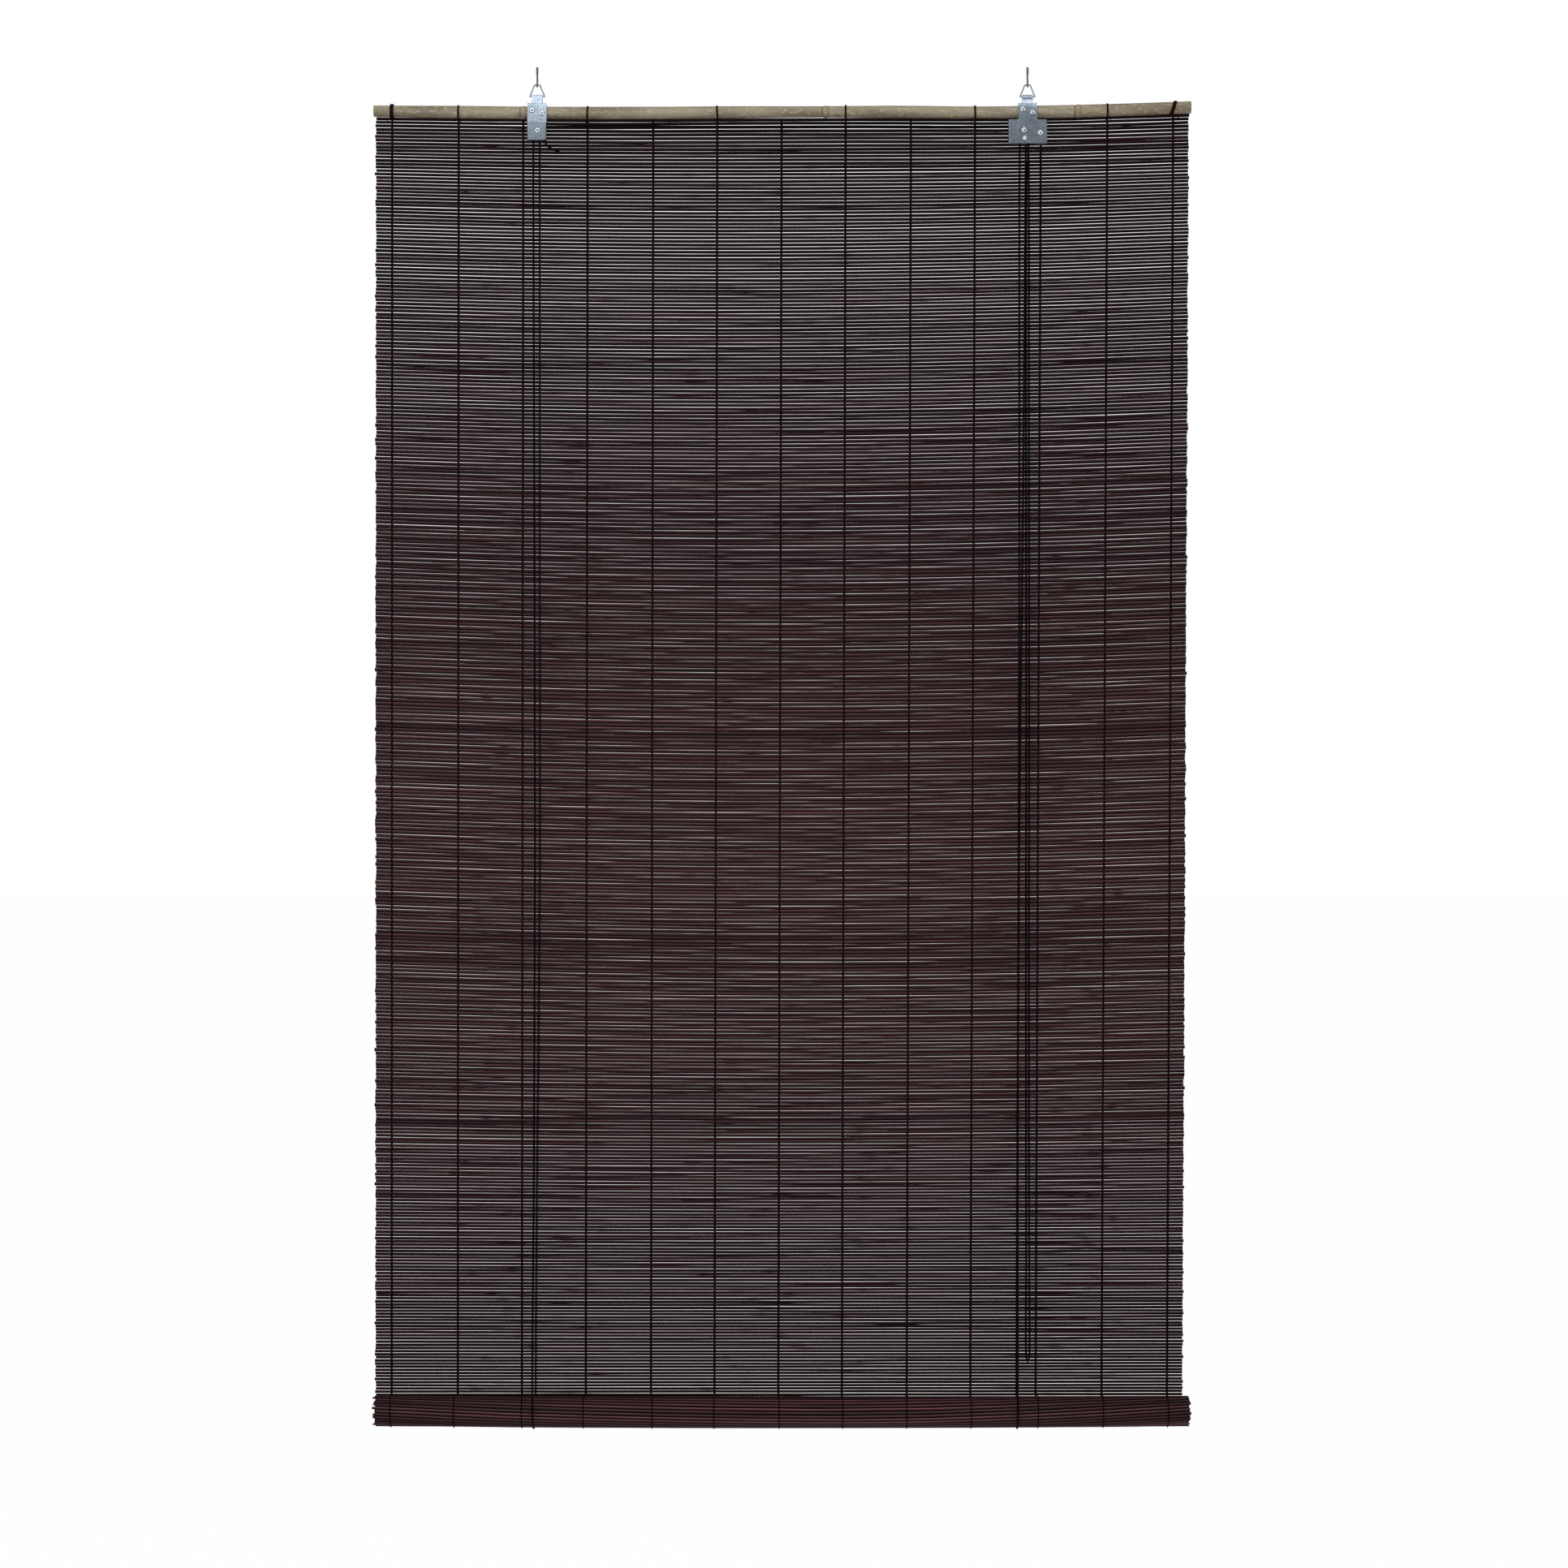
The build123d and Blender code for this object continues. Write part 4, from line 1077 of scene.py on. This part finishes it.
class BLIND_OT_bottom_roll(bpy.types.Operator):
    """Make the wound slats and the threads round them."""

    bl_idname = "blind.bottom_roll"
    bl_label = "Bottom Roll"

    def execute(self, context):
        chance = random.Random(5)
        rows = []
        thick = sizes().slat_thickness
        for angle, r in roll_rows():
            middle = r - thick / 2
            place = (chance.uniform(-0.002, 0.001), middle * math.cos(angle), ROLL_Z - middle * math.sin(angle))
            length = 1.001 + chance.uniform(-0.002, 0.002)
            # Painted light and shade on the roll: slats on its top get a higher share, lighter and redder, those
            # underneath a lower, darker one, with a random stain on top.
            stain_and_painted_light = 1.15 - 0.35 * math.sin(angle) + chance.uniform(-0.45, 0.45)
            rows.append((*place, math.pi - angle, length, WOUND_WIDTH, stain_and_painted_light, 0.0, NO_STRAND_SHADE, NO_STRAND_SHADE))
        mesh = set_slats("wound_slats", rows, belly)
        new_piece("wound_slats", mesh, "stained_slats", "dark_slats", "bottom_roll", "bottom_roll")
        lines = []
        turns = [row for row in roll_rows() if row[0] < 2 * math.pi + 0.5]
        for x in ROLL_THREADS:
            line = []
            for (angle, r), (after, _) in zip(turns, turns[1:]):
                over = (angle, r + sizes().thread_radius * 0.9)
                between = ((angle + after) / 2, r - 0.0003)
                for a, out in (over, between):
                    line.append((x, out * math.cos(a), ROLL_Z - out * math.sin(a)))
            lines.append(belly(line))
        mesh = tube_mesh("wound_threads", lines, sizes().thread_radius * 0.85, 5, THREAD_TWIST)
        new_piece("wound_threads", mesh, "twisted_thread", "warp_thread", "bottom_roll", "roll_threads")
        return {"FINISHED"}


class BLIND_OT_head_pole(bpy.types.Operator):
    """Make the bamboo head pole with its nodes, uneven culm and open ends."""

    bl_idname = "blind.head_pole"
    bl_label = "Head Pole"

    def execute(self, context):
        chance = random.Random(3)
        waves = []
        for _ in range(7):
            waves.append((chance.uniform(6, 40), chance.uniform(0, 6.28), chance.uniform(0.00004, 0.00016)))
        even = set(np.round(np.linspace(-POLE_END, POLE_END, 150), 5))
        near_nodes = {round(n + d, 5) for n in POLE_NODES for d in np.linspace(-0.008, 0.008, 17)}
        inside = [p for p in sorted(even | near_nodes) if -0.5028 < p < 0.5028]
        places = [-POLE_END, -0.5031, *inside, 0.5031, POLE_END]

        def radius_at(x):
            r = POLE_RADIUS + sum(size * math.sin(x * rate + start) for rate, start, size in waves)
            mark = 0.0
            for node in POLE_NODES:
                off = (x - node) / 0.0022
                r += 0.00055 * math.exp(-off * off) - 0.00035 * math.exp(-((off + 1.8) ** 2) * 2.0)
                mark = max(mark, math.exp(-((off + 1.7) ** 2) * 4.0), 0.6 * math.exp(-((off - 1.4) ** 2) * 4.0))
            if abs(abs(x) - POLE_END) < 1e-6:
                r -= 0.0004
            return r, mark

        bore = [(BORE_END, radius, 0.0) for radius in (0.0008, POLE_BORE * 0.6, POLE_BORE)]
        bore.append((0.5033, POLE_BORE, 0.0))
        order = [(-x, radius, mark) for x, radius, mark in bore]
        order += [(x, *radius_at(x)) for x in places]
        order += reversed(bore)
        sides = 28
        verts, marks = [], []
        for x, radius, mark in order:
            z = float(pole_height(x))
            for j in range(sides):
                a = 2 * math.pi * j / sides
                rough = 1.0 + 0.012 * math.sin(2 * a + x * 9.0) + 0.008 * math.sin(3 * a - x * 23.0)
                verts.append((x, radius * rough * math.cos(a), z + radius * rough * math.sin(a)))
                marks.append(mark)
        mesh = bpy.data.meshes.new("bamboo_pole")
        mesh.from_pydata(verts, [], skin(len(order), sides))
        set_values(mesh, ring=marks)
        mesh.shade_smooth()
        outward(mesh)
        new_piece("bamboo_pole", mesh, "raw_bamboo", "natural_bamboo", "head", "head_pole")
        return {"FINISHED"}


class BLIND_OT_lashings(bpy.types.Operator):
    """Make the thread lashings round the pole with their knots and loose ends."""

    bl_idname = "blind.lashings"
    bl_label = "Pole Lashings"

    def execute(self, context):
        chance = random.Random(11)
        radius = sizes().thread_radius * 0.72
        last = len(THREADS_TOP) - 1
        for number, index in enumerate(LASHED, start=1):
            x = THREADS_TOP[index]
            ends = index in (0, last)
            turns = 6 if ends else 3
            width = 0.0042 if ends else 0.0018
            slant = 0.0025 if index == last else chance.uniform(-0.0006, 0.0006)
            height = float(pole_height(x))
            around = []
            steps = 26 * turns
            for i in range(steps + 1):
                a = 2 * math.pi * i / 26 - math.pi / 2
                out = POLE_RADIUS + radius * (1.2 if not ends else 1.3 + 0.9 * (i / 26 % 2 > 1))
                away = width * (i / steps - 0.5) + slant * math.sin(a)
                z = height + out * math.sin(a)
                around.append((x + away, -out * math.cos(a), z + (float(pole_height(x + away)) - height)))
            low = height - POLE_RADIUS - radius * 2
            front = MAT_TOP.y - 0.0016
            knot = []
            for i in range(37):
                a = 2 * math.pi * i / 36
                wide = 0.0009 + 0.0004 * math.cos(3 * a)
                y = front - 0.0006 * math.sin(3 * a)
                knot.append((x + wide * math.cos(2 * a), y, low - 0.0008 + wide * math.sin(2 * a)))
            lines = [around, knot]
            for way in (-1, 1):
                reach = way * (chance.uniform(0.002, 0.005) * (1.6 if ends else 1.0))
                tip = (x + reach, front - chance.uniform(0.001, 0.002), low - 0.0015 - chance.uniform(0.0005, 0.003))
                bend = (x + reach * 0.5, front - 0.0015, low - 0.0002)
                lines.append(spline_points(((x, front, low - 0.0008), bend, tip), 6))
            hold = ((front + 0.0004, low - 0.001), (front + 0.0005, low - 0.004), (MAT_TOP.y - 0.0010, low - 0.0085))
            lines.append(spline_points([(x, y, z) for y, z in hold], 6))
            name = f"pole_lashing_{number}"
            mesh = tube_mesh(name, lines, radius, 6, THREAD_TWIST)
            new_piece(name, mesh, "lit_lashing_thread", "warp_thread", "head", f"lashing_{number}")
        return {"FINISHED"}


class BLIND_OT_hooks_and_rings(bpy.types.Operator):
    """Make the screw hooks with their threads and the wire rings that hang on them."""

    bl_idname = "blind.hooks_and_rings"
    bl_label = "Hooks and Rings"

    def execute(self, context):
        for side, x in (("left", -HOOK_X), ("right", HOOK_X)):
            name = side + "_threaded_hook"
            new_piece(name, self.hook_mesh(name, x), "hook_wire", "steel_wire", "ceiling_hooks", side + "_screw_hook")
            corners = ((-0.0032, RING_TOP_Z), (0.0032, RING_TOP_Z), (0.0092, RING_BAR_Z), (-0.0092, RING_BAR_Z))
            route = []
            for (ax, az), (bx, bz) in zip(corners, corners[1:] + corners[:1]):
                span = math.hypot(bx - ax, bz - az)
                for d in (0.0, 0.0011, span - 0.0011):
                    route.append((x + ax + (bx - ax) * d / span, 0.0, az + (bz - az) * d / span))
            line = spline_points(route, 6, closed=True)
            name = side + "_wire_ring"
            mesh = tube_mesh(name, [line + line[:1]], 0.00095, 12)
            new_piece(name, mesh, "ring_wire", "steel_wire", side + "_ring", side + "_ring")
        return {"FINISHED"}

    def hook_mesh(self, name, x):
        """A screw thread at the ceiling and the bent wire of the hook below it."""
        pitch, sides, steps = 0.0012, 20, 64
        verts = []
        for i in range(steps + 1):
            z = -STUD_LENGTH * i / steps
            fade = min(1.0, (STUD_LENGTH + z) / pitch + 0.15)
            for j in range(sides):
                a = 2 * math.pi * j / sides
                depth = abs((z / pitch + j / sides) % 1.0 - 0.5) * 2.0
                r = 0.0017 - 0.00042 * depth * fade - 0.0003 * (1.0 - fade)
                verts.append((x + r * math.cos(a), r * math.sin(a), z))
        stud = bpy.data.meshes.new(name + "_stud")
        stud.from_pydata(verts, [], skin(steps + 1, sides))
        outward(stud)
        start = [(0.0, -STUD_LENGTH - 0.0002), (0.0, -0.0113), (0.0010, -0.0125), (0.0030, -0.0136)]
        start.append((HOOK_BEND, -0.0148))
        wire = spline_points([(x, y, z) for y, z in start], 5)
        wire += [(x, HOOK_BEND, -0.0148 - 0.0055 * i / 6) for i in range(1, 6)]
        for i in range(25):
            a = math.pi * i / 24
            wire.append((x, HOOK_BEND * math.cos(a), HOOK_BEND_Z - HOOK_BEND * math.sin(a)))
        wire += [(x, -HOOK_BEND, HOOK_BEND_Z + HOOK_BEND * i / 4) for i in range(1, 5)]
        return joined(name, (stud, tube_mesh(name + "_wire", [wire], 0.0011, 14)))


class BLIND_OT_metalwork(bpy.types.Operator):
    """Finish the sheet metal, the pulleys, the pawl and the batten, and make the hollow rivets."""

    bl_idname = "blind.metalwork"
    bl_label = "Metalwork and Rivets"

    def execute(self, context):
        finishes = {
            "zinc_plate": ("left_hanger", "left_pulley_housing"),
            "lock_plate": ("right_hanger", "lock_housing", "lock_cover", "lock_anvil", "lock_pawl"),
            "pulley_white": ("left_pulley", "lock_pulley_back", "lock_pulley_front"),
            "raw_bamboo": ("bottom_batten",),
        }
        for finish, nodes in finishes.items():
            for node in nodes:
                paint_mesh(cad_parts[node].data, finish)
        self.rivets()
        return {"FINISHED"}

    def rivets(self):
        head = (
            (0.0, -0.0003), (0.00105, -0.0003), (0.0012, -0.0011), (0.0015, -0.0014), (0.0021, -0.00135),
            (0.0028, -0.0010), (0.0033, -0.0004), (0.0034, 0.0), (0.0016, 0.0), (0.0016, 0.0006), (0.0, 0.0006),
        )
        tail = (
            (0.0, -0.0006), (0.0016, -0.0006), (0.0016, 0.0), (0.0027, 0.0), (0.0027, 0.0004),
            (0.0022, 0.0007), (0.0014, 0.0007), (0.0011, 0.0003), (0.0, 0.0003),
        )
        shank = ((0.0, 0.0), (0.0016, 0.0), (0.0016, 1.0), (0.0, 1.0))
        hollow = ((0.0, -0.00128), (0.00095, -0.00132), (0.0012, -0.0009), (0.0, -0.0009))
        places = []
        for x in (-HOOK_X, HOOK_X):
            z = float(pole_height(x))
            for way in (-1, 1):
                places.append((x + way * 0.006, z - way * 0.0019, -PLATE_FRONT, PLATE_FRONT))
        places += [
            (LEFT_PULLEY_X, PULLEY_Z, -0.0145, -0.0081),
            (LOCK_PULLEY_X, PULLEY_Z, -0.0185, -0.0081),
            (PAWL_PIN_X, PAWL_PIN_Z, -0.0193, -0.0081),
        ]
        # A dark disc set in each rivet's hollow paints the shade in it.
        rows = [((x, front - 0.0001, z - 0.0004), (1.0, 1.0, 1.0)) for x, z, front, _ in places]
        hollows = self.scatter("rivet_hollow", rows, hollow, 18, "rivet_hollow")
        hollows.shade_smooth()
        new_piece("rivet_hollows", hollows, "rivet_hollow", "rivets", "head")
        heads = [((x, front, z), (1.0, 1.0, 1.0)) for x, z, front, _ in places]
        tails = [((x, back, z), (1.0, 1.0, 1.0)) for x, z, _, back in places]
        shanks = [((x, front + 0.0004, z), (0.99, back - front - 0.0008, 0.99)) for x, z, front, back in places]
        made = [
            self.scatter("rivet_head", heads, head, 22, "bright_rivet"),
            self.scatter("rivet_tail", tails, tail, 22, "bright_rivet"),
            self.scatter("rivet_shank", shanks, shank, 22, "bright_rivet"),
        ]
        rivets = new_piece("hollow_rivets", joined("hollow_rivets", made), "bright_rivet", "rivets", "head")
        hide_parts("left_pole_rivets", "right_pole_rivets", "left_pulley_axle", "lock_pulley_axle", "pawl_pin")
        paint_mesh(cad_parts["anvil_rivet"].data, "bright_rivet")

    def scatter(self, name, rows, profile, sides, finish):
        """Sets one turned shape on each (place, size) by Geometry Nodes."""
        shape = shown(name, lathe_mesh(name, profile, sides))
        points = bpy.data.meshes.new(name + "_points")
        points.from_pydata([row[0] for row in rows], [], [])
        sizes_of = points.attributes.new("size", "FLOAT_VECTOR", "POINT")
        sizes_of.data.foreach_set("vector", [value for row in rows for value in row[1]])
        tree, net, given = new_tree(name + "_set", (("Rivet Part", "Object"), ("Material", "Material")))
        real = net.copies(given["Geometry"], given["Rivet Part"], net.named("size", "FLOAT_VECTOR"))
        net.paint(real, given["Material"])
        mesh = made_by(tree, name, points, {"Rivet Part": shape, "Material": material(finish)})
        bpy.data.objects.remove(shape)
        return mesh


class BLIND_PT_panel(bpy.types.Panel):
    """The blind's pieces in the sidebar."""

    bl_idname = "BLIND_PT_panel"
    bl_label = "Bamboo Blind"
    bl_space_type = "VIEW_3D"
    bl_region_type = "UI"
    bl_category = "Bamboo Blind"

    def draw(self, context):
        layout = self.layout
        for group in (context.scene.blind_sizes, context.scene.blind_colours):
            box = layout.box()
            for key in group.bl_rna.properties.keys():
                if key not in ("rna_type", "name"):
                    box.prop(group, key)
        for operator in OPERATORS:
            layout.operator(operator.bl_idname)


OPERATORS = (
    BLIND_OT_stage,
    BLIND_OT_free_cords,
    BLIND_OT_lift_cords,
    BLIND_OT_hanging_mat,
    BLIND_OT_warp_threads,
    BLIND_OT_bottom_roll,
    BLIND_OT_head_pole,
    BLIND_OT_lashings,
    BLIND_OT_hooks_and_rings,
    BLIND_OT_metalwork,
)
CLASSES = (BlindSizes, BlindColours, *OPERATORS, BLIND_PT_panel)


def register():
    for kind in CLASSES:
        bpy.utils.register_class(kind)
    bpy.types.Scene.blind_sizes = bpy.props.PointerProperty(type=BlindSizes)
    bpy.types.Scene.blind_colours = bpy.props.PointerProperty(type=BlindColours)


def unregister():
    del bpy.types.Scene.blind_colours
    del bpy.types.Scene.blind_sizes
    for kind in reversed(CLASSES):
        bpy.utils.unregister_class(kind)


def main():
    register()
    bpy.ops.blind.stage()
    bpy.ops.blind.free_cords()
    bpy.ops.blind.lift_cords()
    bpy.ops.blind.hanging_mat()
    bpy.ops.blind.warp_threads()
    bpy.ops.blind.bottom_roll()
    bpy.ops.blind.head_pole()
    bpy.ops.blind.lashings()
    bpy.ops.blind.hooks_and_rings()
    bpy.ops.blind.metalwork()


if __name__ == "__main__":
    main()
